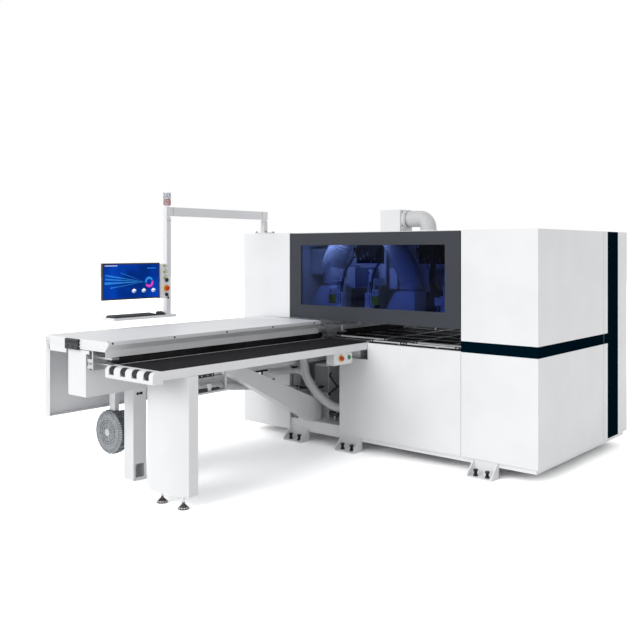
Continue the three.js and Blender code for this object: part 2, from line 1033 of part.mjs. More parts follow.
function ringOf(axis, at, from, to) {
  return cut(
    rod(axis, at, roofHose.collar, from, to, faces.smooth),
    rod(axis, at, roofHose.bore, from - overrun, to + overrun, faces.smooth),
  );
}

// The roof cover carries the collar that the bent hose ends in.
function roofCover() {
  const low = enclosure.top - roof.thick;
  const sheet = block(
    leftFrontEdge + seat,
    rightFace - seat,
    roof.front,
    enclosure.depth - enclosure.panel - seat,
    low,
    enclosure.top,
  );
  const middle = (duct.near + duct.far) / 2;
  const collarTop = enclosure.top + roofHose.collarHigh;
  const collar = ringOf("z", [-roofHose.endX, middle], enclosure.top - overrun, collarTop);
  return join(sheet, collar);
}

function rearWall() {
  const wall = block(
    leftFrontEdge + seat,
    rightFace - seat,
    enclosure.depth - enclosure.panel,
    enclosure.depth,
    enclosure.hem,
    enclosure.top,
  );
  const slot = block(
    -rearSlot.left,
    -rearSlot.right,
    enclosure.depth - enclosure.panel - overrun,
    enclosure.depth + overrun,
    rearSlot.low,
    rearSlot.high,
  );
  return cut(wall, slot);
}

function lowerFrontPanel() {
  const right = rightFace - lowerPanel.gap;
  const outline = [
    [-lowerPanel.left, enclosure.hem],
    [right, enclosure.hem],
    [right, lowerPanel.top],
    [-lowerPanel.stepX, lowerPanel.top],
    [-lowerPanel.stepX, lowerPanel.stepTop],
    [-lowerPanel.left, lowerPanel.stepTop],
  ];
  return profile("y", outline, 0, enclosure.panel);
}

// Window door

const doorLeft = leftFrontEdge + door.gap;
const doorRight = rightFace - door.gap;
const doorTop = enclosure.top - door.topGap;
const doorBack = door.deep - door.proud;
const glassFront = doorBack - pane.thick - door.skin - door.skin;

function windowFrame() {
  const front = -door.proud;
  const body = block(doorLeft, doorRight, front, doorBack, door.low, doorTop);
  const opening = block(
    -pane.left,
    -pane.right,
    front - overrun,
    doorBack + overrun,
    pane.low,
    pane.high,
  );
  const rebate = block(
    -pane.left - pane.rebate,
    -pane.right + pane.rebate,
    glassFront,
    doorBack + overrun,
    pane.low - pane.rebate,
    pane.high + pane.rebate,
  );
  const lip = pane.rebate + door.skin;
  const hollow = cut(
    block(
      doorLeft + door.skin,
      doorRight - door.skin,
      front + door.skin,
      doorBack + overrun,
      door.low + door.skin,
      doorTop - door.skin,
    ),
    block(
      -pane.left - lip,
      -pane.right + lip,
      front,
      doorBack + overrun + overrun,
      pane.low - lip,
      pane.high + lip,
    ),
  );
  const pivot = [door.pivotInset, doorTop - door.pivotInset];
  const reach = door.gap + door.pivotReach - overrun;
  return join(
    cut(body, opening, rebate, hollow),
    rod("x", pivot, door.pivotRadius, doorLeft - reach, doorLeft + door.skin / 2),
    rod("x", pivot, door.pivotRadius, doorRight - door.skin / 2, doorRight + reach),
  );
}

function windowGlass() {
  const inset = pane.rebate - seat;
  return block(
    -pane.left - inset,
    -pane.right + inset,
    glassFront + seat,
    glassFront + seat + pane.thick,
    pane.low - inset,
    pane.high + inset,
  );
}

// Chamber

const bedLow = bed.top - bed.thick;
const slotPlaces = (from, to) => {
  const count = Math.floor((to - from - bed.slotInset) / bed.slotPitch);
  return repeat(count, (i) => from + bed.slotInset + i * bed.slotPitch);
};
const bedSlots = [...slotPlaces(bed.front, bed.gapFront), ...slotPlaces(bed.gapRear, bed.rear)];

function worktable() {
  const through = (x0, x1, y0, y1) => block(x0, x1, y0, y1, bedLow - overrun, bed.top + overrun);
  const left = -bed.left + bed.tie;
  const right = -bed.right - bed.tie;
  const level = bed.top - bar.radius + bar.rise;
  const slotted = cut(
    block(-bed.left, -bed.right, bed.front, bed.rear, bedLow, bed.top),
    through(left, right, bed.gapFront, bed.gapRear),
    bedSlots.map((y) => through(left, right, y, y + bed.slotWide)),
  );
  const bars = bedSlots.map((y) =>
    rod("x", [y + bed.slotWide / 2, level], bar.radius, left - overrun, right + overrun, faces.hex),
  );
  return join(slotted, bars);
}

function crossBeam(beam, levels) {
  const body = block(
    beamLeftEnd,
    beamRightEnd,
    beam.front,
    beam.front + beam.deep,
    beam.low,
    beam.low + beam.high,
  );
  const from = innerWall + guideGap;
  const to = rightFace - guideGap;
  const rails = levels.map((level) => profile("x", guideSection(level, beam.front + overrun, -1), from, to));
  return join(body, rails);
}

// A guide rail's section: a foot, a waist and a head, from the face at zero outwards.
function guideSection(level, face, out) {
  const half = guide.wide / 2;
  const waist = half - guide.neck;
  const [footEnd, waistAt, headStart] = guide.sectionShares.map((share) => share * guide.deep);
  const stations = [
    [0, half],
    [footEnd, half],
    [waistAt, waist],
    [headStart, half],
    [guide.deep, half],
  ];
  const upper = stations.map(([d, h]) => [face + out * d, level + h]);
  const under = stations.map(([d, h]) => [face + out * d, level - h]).reverse();
  return [...upper, ...under];
}

const upperGuides = [beamUpper.low + guide.inset, beamUpper.low + beamUpper.high - guide.inset];
const lowerGuides = [beamLower.low + guide.inset, beamLower.low + beamLower.high - guide.inset];
const guideGap = beamWall.clear + guide.inset;

// The clamps' rail: a backing strip with the guide and the rack on it.
function feedRail() {
  const feedFace = -feedBeam.right + seat;
  const guideFace = feedFace + feedGuide.strip;
  const feed = profile(
    "y",
    guideSection(feedGuide.level, guideFace - overrun, 1),
    -feedBeam.near + guide.inset,
    feedBeam.far - guide.inset,
  );
  const rack = block(
    guideFace - overrun,
    guideFace + guide.deep - guide.neck,
    -feedBeam.near + guide.inset,
    feedBeam.far - guide.inset,
    feedGuide.rackLevel - feedGuide.rackHigh / 2,
    feedGuide.rackLevel + feedGuide.rackHigh / 2,
  );
  const strip = block(
    feedFace,
    guideFace,
    -feedBeam.near + guide.inset,
    feedBeam.far - guide.inset,
    feedGuide.stripLow,
    feedGuide.level + guide.wide,
  );
  return join(strip, feed, rack);
}

// Feed beam and hood

function feedBeamBody() {
  const top = feedBeam.low + feedBeam.high;
  const body = block(
    -feedBeam.left,
    -feedBeam.right,
    -feedBeam.near + feedPlate.thick - overrun,
    feedBeam.far,
    feedBeam.low,
    top,
  );
  const plateTop = feedBeam.low + feedPlate.high;
  const endPlate = profile(
    "y",
    [
      [-feedBeam.left, feedBeam.low],
      [-feedBeam.right, feedBeam.low],
      [-feedBeam.right, plateTop - feedPlate.tabHigh],
      [-feedBeam.right + feedPlate.tabWide, plateTop - feedPlate.tabHigh],
      [-feedBeam.right + feedPlate.tabWide, plateTop],
      [-feedBeam.left, plateTop],
    ],
    -feedBeam.near,
    -feedBeam.near + feedPlate.thick,
  );
  const riser = (y) =>
    block(
      -feedBeam.left,
      -feedBeam.left + stand.wide,
      y,
      y + blower.hangerDeep,
      top - overrun,
      hood.top - hood.sheet - seat,
    );
  const hangerLeft = -blower.x - blower.hangerWide / 2;
  const hangerY = -blower.y + blower.coverDeep / 2;
  const crossTie = block(
    hangerLeft,
    -feedBeam.left + overrun,
    hangerY,
    hangerY + blower.hangerDeep,
    feedBeam.low,
    feedBeam.low + blower.hangerDeep,
  );
  const hanger = block(
    hangerLeft,
    hangerLeft + blower.hangerWide,
    hangerY,
    hangerY + blower.hangerDeep,
    blower.z + blower.radius + seat,
    feedBeam.low + overrun,
  );
  const riserPlaces = [blower.y, feedBeam.near / 2, stand.front + hood.far + stand.deep];
  const port = block(
    -feedBeam.right - overrun,
    -manifold.right,
    -manifold.near,
    -manifold.far,
    manifold.low,
    manifold.low + manifold.high,
  );
  return join(body, endPlate, riserPlaces.map((y) => riser(-y)), crossTie, hanger, port);
}

function beamHood() {
  const { left, right, top, sheet, edge, tuck, slope, lip } = hood;
  const outer = [
    [-left, hood.skirtLow],
    [-left, top],
    [-right, top],
    [-right, top - edge],
    [-right - tuck, top - edge - slope],
    [-right - tuck, top - edge - slope - lip],
  ];
  const inner = [
    [-right - tuck - sheet, top - edge - slope - lip],
    [-right - tuck - sheet, top - edge - slope],
    [-right - sheet, top - edge],
    [-right - sheet, top - sheet],
    [-left + sheet, top - sheet],
    [-left + sheet, hood.skirtLow + sheet],
    [-left + hood.returnWide, hood.skirtLow + sheet],
    [-left + hood.returnWide, hood.skirtLow],
  ];
  const shell = profile("y", [...outer, ...inner], -hood.near + sheet, -hood.far);
  const cap = profile(
    "y",
    [
      ...outer.slice(0, 5),
      [-right - tuck, top - hood.endRight],
      [-cableBlock.right + sheet, top - hood.endRight],
      [-cableBlock.right + sheet, top - sheet],
      [-cableBlock.left - sheet, top - sheet],
      [-cableBlock.left - sheet, top - hood.endTop],
      [-left + hood.endLeft, top - hood.endTop],
      [-left + hood.endLeft, hood.skirtLow + hood.endLeft],
      [-left + hood.returnWide, hood.skirtLow + hood.endLeft],
      [-left + hood.returnWide, hood.skirtLow],
    ],
    -hood.near,
    -hood.near + sheet + overrun,
  );
  return join(shell, cap);
}

function beamLegPost() {
  const { left, right, near, far, wall, cutInset, cutHigh, cutLow } = beamLeg;
  const top = feedBeam.low - seat;
  const body = profile("z", rectangle(-left, -right, -near, -far), 0, top, [
    rectangle(-left + wall, -right - wall, -near + wall, -far - wall),
  ]);
  const corner = cutInset / 2;
  const notch = [
    [-near + cutInset, cutLow],
    [-far - cutInset, cutLow],
    [-far - cutInset, cutHigh - corner],
    [-far - cutInset - corner, cutHigh],
    [-near + cutInset + corner, cutHigh],
    [-near + cutInset, cutHigh - corner],
  ];
  const middle = -(near + far) / 2;
  return cut(
    join(body, block(-left, -right, -near, -far, 0, wall)),
    profile("x", notch, -right - wall - overrun, -right + overrun),
    rod(
      "x",
      [middle, top - beamLeg.boltDrop],
      beamLeg.boltRadius,
      -right - wall - overrun,
      -right + overrun,
      faces.small,
    ),
  );
}

function cableBlockBody() {
  return block(
    -cableBlock.left,
    -cableBlock.right,
    -enclosure.reach,
    -enclosure.reach + cableBlock.deep,
    feedBeam.low + feedPlate.high + seat,
    hood.top - hood.sheet - seat,
  );
}

// Infeed table

function rollerPlace(i) {
  const width = table.left - table.right;
  return -table.left + width * (roller.firstShare + i * roller.pitchShare);
}

const rollerY = -table.near + roller.radius;
const rollerZ = bed.top + roller.proud - roller.radius;

// The rounded end of the table, with a slot for each roller and the axle that they share.
function tableEnd() {
  const { near, nose, toe } = table;
  const low = bed.top - table.endHigh;
  const back = -near + table.endDeep;
  const arcSteps = 4;
  const bend = (cy, cz, radius, start) =>
    repeat(arcSteps + 1, (i) => {
      const angle = start + (i * Math.PI) / 2 / arcSteps;
      return [cy + radius * Math.cos(angle), cz + radius * Math.sin(angle)];
    });
  const outline = [
    [back, low],
    [back, bed.top],
    ...bend(-near + nose, bed.top - nose, nose, Math.PI / 2),
    ...bend(-near + toe, low + toe, toe, Math.PI),
  ];
  const slot = (i) =>
    block(
      rollerPlace(i) - roller.slot / 2,
      rollerPlace(i) + roller.slot / 2,
      -near - overrun,
      rollerY + roller.radius + overrun,
      rollerZ - roller.radius - overrun,
      bed.top + overrun,
    );
  const body = cut(profile("x", outline, -table.left, -table.right), repeat(roller.count, slot));
  const axle = rod(
    "x",
    [rollerY, rollerZ],
    roller.axle,
    -table.left + table.fascia,
    -table.right - table.fascia,
    faces.small,
  );
  return join(body, axle);
}

function tableFrame() {
  const side = (x) =>
    block(
      x,
      x + table.fascia,
      -table.near + table.endDeep - overrun,
      table.far,
      bed.top - table.fasciaHigh,
      bed.top,
    );
  const crossTop = bed.top - table.bed - seat;
  const start = -table.near + table.endDeep;
  const run = table.far - start - table.cross;
  const cross = (i) => {
    const y = start + (run * (i + 1)) / table.crosses;
    return block(
      -table.left + table.fascia / 2,
      -table.right - table.fascia / 2,
      y,
      y + table.cross,
      crossTop - table.crossHigh,
      crossTop,
    );
  };
  return join(
    tableEnd(),
    side(-table.left),
    side(-table.right - table.fascia),
    repeat(table.crosses, cross),
  );
}

function tableTop() {
  return block(
    -table.left + table.fascia + seat,
    -table.right - table.fascia - seat,
    -table.near + table.endDeep + seat,
    table.far - seat,
    bed.top - table.bed,
    bed.top,
  );
}

function rollerBody(i) {
  const x = rollerPlace(i) - roller.wide / 2;
  const bore = roller.axle + roller.clear;
  const chamfer = roller.radius - roller.proud;
  return turned(
    "x",
    [rollerY, rollerZ],
    [
      [bore, x],
      [chamfer, x],
      [roller.radius, x + roller.proud],
      [roller.radius, x + roller.wide - roller.proud],
      [chamfer, x + roller.wide],
      [bore, x + roller.wide],
      [bore, x],
    ],
    faces.plain,
  );
}

function tableLeg() {
  const { left, right, front, back, chamferWide, chamferDeep, wall } = leg;
  const outline = (w) => [
    [-left + w, -back + (w ? overrun : 0)],
    [-left + w, -front + chamferDeep + w / 2],
    [-left + chamferWide + w / 2, -front + w],
    [-right - chamferWide - w / 2, -front + w],
    [-right - w, -front + chamferDeep + w / 2],
    [-right - w, -back + (w ? overrun : 0)],
  ];
  const top = bed.top - table.fasciaHigh - seat;
  const body = cut(
    profile("z", outline(0), leg.low, top),
    profile("z", outline(wall), leg.low + wall, top - wall),
  );
  return join(body, tableFoot(-foot.leftX), tableFoot(-foot.rightX));
}

function braceBody() {
  const near = railFront - seat;
  const side = [
    [near, brace.heel],
    [near, brace.heel + brace.heelHigh],
    [-brace.tipFar, brace.top],
    [-brace.tipNear, brace.top],
  ];
  const tie = block(
    -feedBeam.right + seat,
    -brace.tieRight,
    -brace.tipNear,
    -brace.tipFar,
    brace.top - overrun,
    bed.top - table.fasciaHigh - seat,
  );
  return join(profile("x", side, -brace.left, -brace.right), tie);
}

// Blower: a fan cover with an open grille, the ring housing behind it and the motor.

function blowerHousing() {
  const { x, y, z, radius, skin, mouth, eye } = blower;
  const front = -y;
  const back = front + blower.coverDeep;
  const centre = [-x, z];
  const shell = turned(
    "y",
    centre,
    [
      [radius - skin, front + skin],
      [radius - skin, back - skin],
      [eye, back - skin],
      [eye, back + overrun],
      [blower.ringRadius, back + overrun],
      [blower.ringRadius, back],
      [radius, back],
      [radius, front + 2 * skin],
      [radius - 2 * skin, front],
      [mouth, front],
      [mouth, front + skin],
      [radius - skin, front + skin],
    ].reverse(),
    faces.broad,
  );
  const ring = turned(
    "y",
    centre,
    [
      [0, back],
      [blower.ringRadius, back],
      [blower.ringRadius, back + blower.ringDeep - skin],
      [blower.ringRadius - 2 * skin, back + blower.ringDeep],
      [blower.motorRadius, back + blower.ringDeep],
      [blower.motorRadius, back + blower.ringDeep + blower.motorDeep],
      [0, back + blower.ringDeep + blower.motorDeep],
    ],
    faces.broad,
  );
  const spoke = (i) => {
    const ray = new THREE.BoxGeometry(mouth - eye / 2 + skin, skin, blower.ribWide);
    ray.translate((mouth + eye / 2 + skin) / 2, 0, 0);
    ray.rotateY((2 * Math.PI * i) / blower.ribs);
    return solid(ray.translate(-x, front + skin / 2, z));
  };
  const boss = rod("y", centre, eye, front, front + skin, faces.smooth);
  const rimFin = (i) => {
    const fin = new THREE.BoxGeometry(2 * blower.finHigh, blower.coverDeep - 4 * skin, blower.finWide);
    fin.translate(radius, 0, 0).rotateY((2 * Math.PI * i) / blower.fins);
    return solid(fin.translate(-x, front + blower.coverDeep / 2, z));
  };
  const top = Math.PI / 2;
  const clearOfHanger = (i) => {
    const turn = (2 * Math.PI * i) / blower.fins;
    return Math.abs(turn - 3 * top) > blower.hangerWide / radius / 2;
  };
  const fins = repeat(blower.fins, (i) => i).filter(clearOfHanger).map(rimFin);
  const shaft = rod("y", centre, fan.bore, back - fan.inset - fan.deep, back);
  const outletY = back + blower.ringDeep / 2;
  const outlet = rod("z", [-blower.outletX, outletY], blower.outlet, z, blower.outletTop);
  return join(shell, ring, boss, repeat(blower.ribs, spoke), fins, shaft, outlet);
}

function blowerFan() {
  const front = -blower.y + blower.coverDeep - blower.skin - fan.inset - fan.deep;
  const centre = [-blower.x, blower.z];
  const blade = (i) => {
    const vane = new THREE.BoxGeometry(fan.blade - fan.hub / 2, fan.deep, fan.bladeWide);
    vane.rotateX(fan.bladeTurn).translate((fan.blade + fan.hub / 2) / 2, 0, 0);
    vane.rotateY((2 * Math.PI * i) / fan.blades);
    return solid(vane.translate(-blower.x, front + fan.deep / 2, blower.z));
  };
  const hub = rod("y", centre, fan.hub, front, front + fan.deep, faces.smooth);
  return cut(
    join(hub, repeat(fan.blades, blade)),
    rod("y", centre, fan.bore + seat, front - overrun, front + fan.deep + overrun),
  );
}

// Clamps: a carriage on the feed rail with a fixed lower jaw and a cylinder over the moving jaw.

function clampCarriage(y) {
  const face = -feedBeam.right + seat + feedGuide.strip + guide.deep;
  const gap = seat + seat;
  const from = y - clamp.long / 2;
  const to = y + clamp.long / 2;
  const bearing = cut(
    block(
      face - guide.deep / 2,
      face + clamp.block,
      from,
      to,
      feedGuide.level - clamp.blockHigh / 2,
      feedGuide.level + clamp.blockHigh / 2,
    ),
    block(
      face - guide.deep,
      face + gap,
      from - overrun,
      to + overrun,
      feedGuide.level - guide.wide / 2 - gap,
      feedGuide.level + guide.wide / 2 + gap,
    ),
  );
  const plateLeft = face + clamp.block - overrun;
  const plateRight = plateLeft + clamp.plate;
  const plate = block(plateLeft, plateRight, from, to, clamp.low, clamp.low + clamp.high);
  const jawBase = block(
    plateRight - overrun,
    -clamp.reachRight,
    y - clamp.jaw / 2,
    y + clamp.jaw / 2,
    clamp.lower - clamp.lowerThick,
    clamp.lower,
  );
  const bridge = block(
    plateRight - overrun,
    -clamp.reachRight,
    y - clamp.jaw / 2,
    y + clamp.jaw / 2,
    clamp.bridge,
    clamp.bridge + clamp.bridgeThick,
  );
  const axis = [-clamp.reachRight - clamp.jaw / 2, y];
  const bridgeTop = clamp.bridge + clamp.bridgeThick;
  const cylinder = rod("z", axis, clamp.cylinder, bridgeTop - overrun, bridgeTop + clamp.cylinderHigh);
  const bore = rod("z", axis, clamp.rod + gap, clamp.bridge - overrun, bridgeTop + clamp.cylinderHigh / 2);
  const nipple = rod(
    "y",
    [face + clamp.block / 2, feedGuide.level],
    clamp.nipple,
    from - clamp.nippleHigh,
    from + overrun,
    faces.small,
  );
  return join(cut(join(bearing, plate, jawBase, bridge, cylinder), bore), nipple);
}

function clampJaw(y) {
  const axis = [-clamp.reachRight - clamp.jaw / 2, y];
  const left = axis[0] - clamp.jaw / 2;
  const pad = block(
    left,
    left + clamp.jaw,
    y - clamp.jaw / 2,
    y + clamp.jaw / 2,
    clamp.jawTop - clamp.jawHigh,
    clamp.jawTop,
  );
  const top = clamp.bridge + clamp.bridgeThick + clamp.cylinderHigh / 2 - seat;
  return join(pad, rod("z", axis, clamp.rod, clamp.jawTop - overrun, top));
}

// Upper drilling heads

const headPlaces = head.placeShares.map((share) => rightFace - share * opening);
const carriageBack = head.plateFront + head.plateDeep;

function hoodCentre(i) {
  return [headPlaces[i] + hoodShiftShares[i] * head.plateWide, (dustHood.near + dustHood.far) / 2];
}

function headCarriage(i) {
  const x = headPlaces[i];
  const half = head.plateWide / 2;
  const plate = block(x - half, x + half, head.plateFront, carriageBack, head.plateLow, head.plateTop);
  const gap = seat + seat;
  const railFace = beamUpper.front - seat - guide.deep;
  const bearing = (cx, level) =>
    cut(
      block(
        cx - head.blockWide / 2,
        cx + head.blockWide / 2,
        carriageBack - overrun,
        railFace + guide.deep / 2,
        level - head.grip / 2,
        level + head.grip / 2,
      ),
      block(
        cx - head.blockWide,
        cx + head.blockWide,
        railFace - gap,
        beamUpper.front,
        level - guide.wide / 2 - gap,
        level + guide.wide / 2 + gap,
      ),
    );
  const bearings = upperGuides.flatMap((level) => [
    bearing(x - half + head.blockWide, level),
    bearing(x + half - head.blockWide, level),
  ]);
  const [cx, cy] = hoodCentre(i);
  const low = dustHood.low + dustHood.rises[i];
  const top = dustHood.top + dustHood.rises[i];
  const neck = dustHood.neck / 2;
  const spread = dustHood.wide - neck;
  const wall = dustHood.wall;
  const shell = (w, drop) => [
    [cx - spread + w, low - drop],
    [cx + neck - w, low - drop],
    [cx + neck - w, top - w],
    [cx - neck + w, top - w],
  ];
  const body = cut(
    profile("y", shell(0, 0), dustHood.near, dustHood.far),
    profile("y", shell(wall, overrun), dustHood.near + wall, dustHood.far - wall),
    rod("z", [cx, cy], hose.bore, top - 2 * wall, top + overrun, faces.smooth),
  );
  const collarTop = top + dustHood.collarHigh;
  const collar = (z0, z1) =>
    cut(
      rod("z", [cx, cy], neck, z0, z1, faces.smooth),
      rod("z", [cx, cy], hose.bore, z0 - overrun, z1 + overrun, faces.smooth),
    );
  const mount = block(
    cx + neck * dustHood.mountShare,
    cx + neck * dustHood.mountShare + hose.bracket,
    dustHood.far - overrun,
    carriageBack,
    dustHood.top - neck,
    head.plateLow + hose.ringHigh,
  );
  const endX = cx + head.plateWide * hoseBendShares[i][3];
  const ringOuter = hose.radius + hose.ringWide;
  const ringTop = hose.top + seat + hose.ringWide;
  const hanger = cut(
    join(
      rod("z", [endX, cy], ringOuter, hose.top - hose.ringHigh, ringTop, faces.smooth),
      block(
        endX - hose.bracket,
        endX + hose.bracket,
        cy,
        carriageBack,
        hose.top - hose.ringHigh,
        ringTop,
      ),
      block(
        endX - hose.bracket,
        endX + hose.bracket,
        head.plateFront,
        carriageBack,
        head.plateTop - hose.ringHigh,
        ringTop,
      ),
      block(
        Math.min(endX - hose.bracket, x - half),
        Math.max(endX + hose.bracket, x - half + hose.bracket),
        head.plateFront,
        carriageBack,
        head.plateTop - hose.ringHigh,
        head.plateTop,
      ),
    ),
    rod(
      "z",
      [endX, cy],
      hose.radius + hose.ringClear,
      hose.top - hose.ringHigh - overrun,
      hose.top + seat,
      faces.smooth,
    ),
    rod("z", [endX, cy], hose.bore, hose.top, ringTop + overrun, faces.smooth),
  );
  const presses = pressShares[i].map((share) => pushPad(x + share * head.plateWide));
  return join(plate, bearings, body, collar(top - wall, collarTop), mount, hanger, presses);
}

// A push pad: a small guided cylinder with two rods, on a strut from the carriage plate.
function pushPad(cx) {
  const half = press.wide / 2;
  const back = press.near + press.deep;
  const top = press.low + press.high;
  const strutLow = head.plateLow;
  const strutTop = strutLow + press.wide;
  return join(
    block(cx - half, cx + half, press.near, back, press.low, top),
    [-half / 2, half / 2].map((dx) =>
      rod(
        "z",
        [cx + dx, press.near + press.deep / 2],
        press.rod,
        top - overrun,
        top + press.rodHigh,
        faces.small,
      ),
    ),
    block(
      cx - half + press.padInset,
      cx + half - press.padInset,
      press.near + press.padInset,
      back - press.padInset,
      press.low - press.padHigh,
      press.low + overrun,
    ),
    block(cx + half - press.rod, cx + half, back - overrun, head.plateFront + overrun, strutLow, strutTop),
    block(cx + half - press.rod, cx + half, back - press.rod, back, top - overrun, strutTop),
  );
}

function headHose(i) {
  const [cx, cy] = hoodCentre(i);
  const low = dustHood.top + dustHood.rises[i] + dustHood.collarHigh + seat;
  const rise = hose.top - low;
  const [a, b, c, d] = hoseBendShares[i].map((share) => cx + share * head.plateWide);
  const [first, second, third, last] = hose.riseShares.map((share) => low + share * rise);
  return ribbedHose(
    [
      [a, cy, low],
      [a, cy, first],
      [b, cy, second],
      [c, cy, third],
      [d, cy, last],
      [d, cy, hose.top],
    ],
    hose,
  );
}

function headBlock(i) {
  const x = headPlaces[i];
  const motorX = x + motorShares[i] * head.plateWide;
  const far = drill.far;
  const bodyHigh = drill.low + drill.high;
  const half = drill.wide / 2;
  const body = block(motorX - half, motorX + half, drill.near, far, drill.low, bodyHigh);
  const nose = block(
    motorX - half + drill.noseHigh,
    motorX + half - drill.noseHigh,
    drill.near + drill.noseHigh / 2,
    far - drill.noseHigh / 2,
    drill.low - drill.noseHigh,
    drill.low + overrun,
  );
  const motorHalf = ridge.motorWide / 2;
  const motorTop = ridge.motorLow + ridge.motorHigh;
  const pitch = ridge.motorWide / ridge.fins;
  const groove = (k) =>
    block(
      motorX - motorHalf + (k + 1 - ridge.grooveShare) * pitch,
      motorX - motorHalf + (k + 1) * pitch,
      ridge.motorNear - overrun,
      ridge.motorNear + ridge.finDeep,
      ridge.motorLow + ridge.finDeep,
      motorTop + overrun,
    );
  const motor = cut(
    block(
      motorX - motorHalf,
      motorX + motorHalf,
      ridge.motorNear,
      ridge.motorFar,
      bodyHigh - overrun,
      motorTop,
    ),
    repeat(ridge.fins - 1, groove),
  );
  const chuckLow = drill.low - drill.noseHigh - drill.chuckHigh;
  const chucks = repeat(drill.rows, (k) =>
    rod(
      "z",
      [motorX + (k + 1) * drill.pitch - drill.chuck, drill.far - drill.pitch - drill.chuck],
      drill.chuck,
      chuckLow,
      drill.low - drill.noseHigh + overrun,
      faces.small,
    ),
  );
  const shoe = block(
    motorX - drill.pitch,
    motorX + drill.pitch,
    far - overrun,
    head.plateFront - seat,
    ridge.motorLow,
    motorTop - ridge.finDeep,
  );
  return join(body, nose, motor, chucks, shoe);
}

function headSpindle(i) {
  const x = headPlaces[i] + motorShares[i] * head.plateWide - drill.pitch - spindle.collet / 2;
  const top = drill.low - drill.noseHigh - seat;
  return turned(
    "z",
    [x, spindle.y],
    [
      [0, top - spindle.colletHigh - spindle.shankHigh],
      [spindle.shank, top - spindle.colletHigh - spindle.shankHigh + spindle.shank],
      [spindle.shank, top - spindle.colletHigh],
      [spindle.collet - spindle.shank, top - spindle.colletHigh],
      [spindle.collet, top - spindle.colletHigh + spindle.shank],
      [spindle.collet, top],
      [0, top],
    ],
    faces.plain,
  );
}

function lowerHead() {
  const x = rightFace - lower.placeShare * opening;
  const gap = seat + seat;
  const railFace = beamLower.front - seat - guide.deep;
  const plateBack = railFace - overrun;
  const plate = block(
    x - lower.wide / 2,
    x + lower.wide / 2,
    plateBack - head.plateDeep,
    plateBack,
    lower.low,
    beamLower.low + beamLower.high + guide.inset,
  );
  const bearing = (cx, level) =>
    cut(
      block(
        cx - head.blockWide / 2,
        cx + head.blockWide / 2,
        plateBack - overrun,
        railFace + guide.deep / 2,
        level - head.grip / 2,
        level + head.grip / 2,
      ),
      block(
        cx - head.blockWide,
        cx + head.blockWide,
        railFace - gap,
        beamLower.front,
        level - guide.wide / 2 - gap,
        level + guide.wide / 2 + gap,
      ),
    );
  const offset = lower.wide / 2 - head.blockWide / 2;
  const bearings = lowerGuides.flatMap((level) => [bearing(x - offset, level), bearing(x + offset, level)]);
  const blockFar = plateBack - head.plateDeep + overrun;
  const body = block(
    x - lower.blockWide / 2,
    x + lower.blockWide / 2,
    lower.near,
    blockFar,
    lower.motorLow,
    lower.top,
  );
  const motor = rod(
    "z",
    [x + lower.motorOffset, lower.motorNear + overrun],
    lower.motorRadius,
    lower.motorLow,
    lower.motorLow + lower.motorHigh,
    faces.plain,
  );
  const chucks = repeat(2 * drill.rows, (k) => {
    const column = k % drill.rows;
    const row = Math.floor(k / drill.rows);
    const cx = x + (column - 1) * drill.pitch;
    const cy = lower.near + drill.pitch * (row + 1) - lower.chuck / 2;
    return rod("z", [cx, cy], lower.chuck, lower.top - overrun, lower.top + lower.chuckHigh, faces.small);
  });
  return join(plate, bearings, body, motor, chucks);
}

// Roof duct and its hose

function roofDuct() {
  const { left, right, near, far, top, flange, flangeHigh } = duct;
  const low = enclosure.top + seat;
  const middle = (near + far) / 2;
  const collarX = -right + roofHose.collarHigh;
  return join(
    block(-left, -right, near, far, low, top),
    block(-left - flange, -right + flange, near - flange, far + flange, low, low + flangeHigh),
    ringOf("x", [middle, roofHose.z], -right - overrun, collarX),
  );
}

function roofHoseBody() {
  const y = (duct.near + duct.far) / 2;
  const start = -duct.right + roofHose.collarHigh + seat;
  const end = enclosure.top + roofHose.collarHigh + seat;
  const { bend, endX, z } = roofHose;
  const turnSteps = 4;
  const elbow = repeat(turnSteps + 1, (i) => {
    const angle = (i * Math.PI) / 2 / turnSteps;
    return [-endX - bend + bend * Math.sin(angle), y, z - bend + bend * Math.cos(angle)];
  });
  const straight = [[start, y, z], [start + roofHose.collarHigh, y, z]];
  return ribbedHose([...straight, ...elbow, [-endX, y, end]], roofHose);
}

// Bay under the table: hoses, cables and boxes

// The two boxes in the bay stand on one mounting plate across the base frame.
function bayBoxes() {
  const low = railTop + seat;
  const box = ({ left, right, near, far, high }) => block(-left, -right, near, far, low, railTop + high);
  return join(
    box(greyBox),
    box(whiteBox),
    block(-whiteBox.left, -greyBox.right, greyBox.near, whiteBox.far, low, low + base.sheet),
  );
}

function buttonBox() {
  const crossLow = bed.top - table.bed - seat - table.crossHigh;
  return cut(
    block(
      -tableBox.left,
      -tableBox.right,
      -tableBox.near,
      -tableBox.far,
      tableBox.low,
      crossLow - seat,
    ),
    stemBores(-tableBox.right, [
      [-tableBox.stopY, tableBox.z, stop.neck],
      [-tableBox.startY, tableBox.z, button.stem],
    ]),
  );
}

const bayRoute = (start, end, spans, shares) => [
  start,
  ...shares.map((offset) => offset.map((share, k) => start[k] + share * spans[k])),
  end,
];

function airHoseBody() {
  const whiteX = -(whiteBox.left + whiteBox.right) / 2;
  const outletY = -blower.y + blower.coverDeep + blower.ringDeep / 2;
  const start = [-blower.outletX, outletY, blower.outletTop + seat];
  const end = [whiteX, whiteBox.near - seat, airHose.endZ];
  const spans = [airHose.sway, end[1] - start[1], feedBeam.low - start[2]];
  return ribbedHose(bayRoute(start, end, spans, airHoseShares), airHose);
}

// The small ribbed hose runs from the branch on the bent hose to the feed beam's far side.
function dustHoseBody() {
  const { branchX, branchY, branchZ, inletY, inletZ } = dustHose;
  const start = [-branchX - seat, -branchY, branchZ];
  const end = [-feedBeam.left - seat, -inletY, inletZ];
  const run = start[0] - end[0];
  return ribbedHose(bayRoute(start, end, [run, run, run], dustHoseShares), dustHose);
}

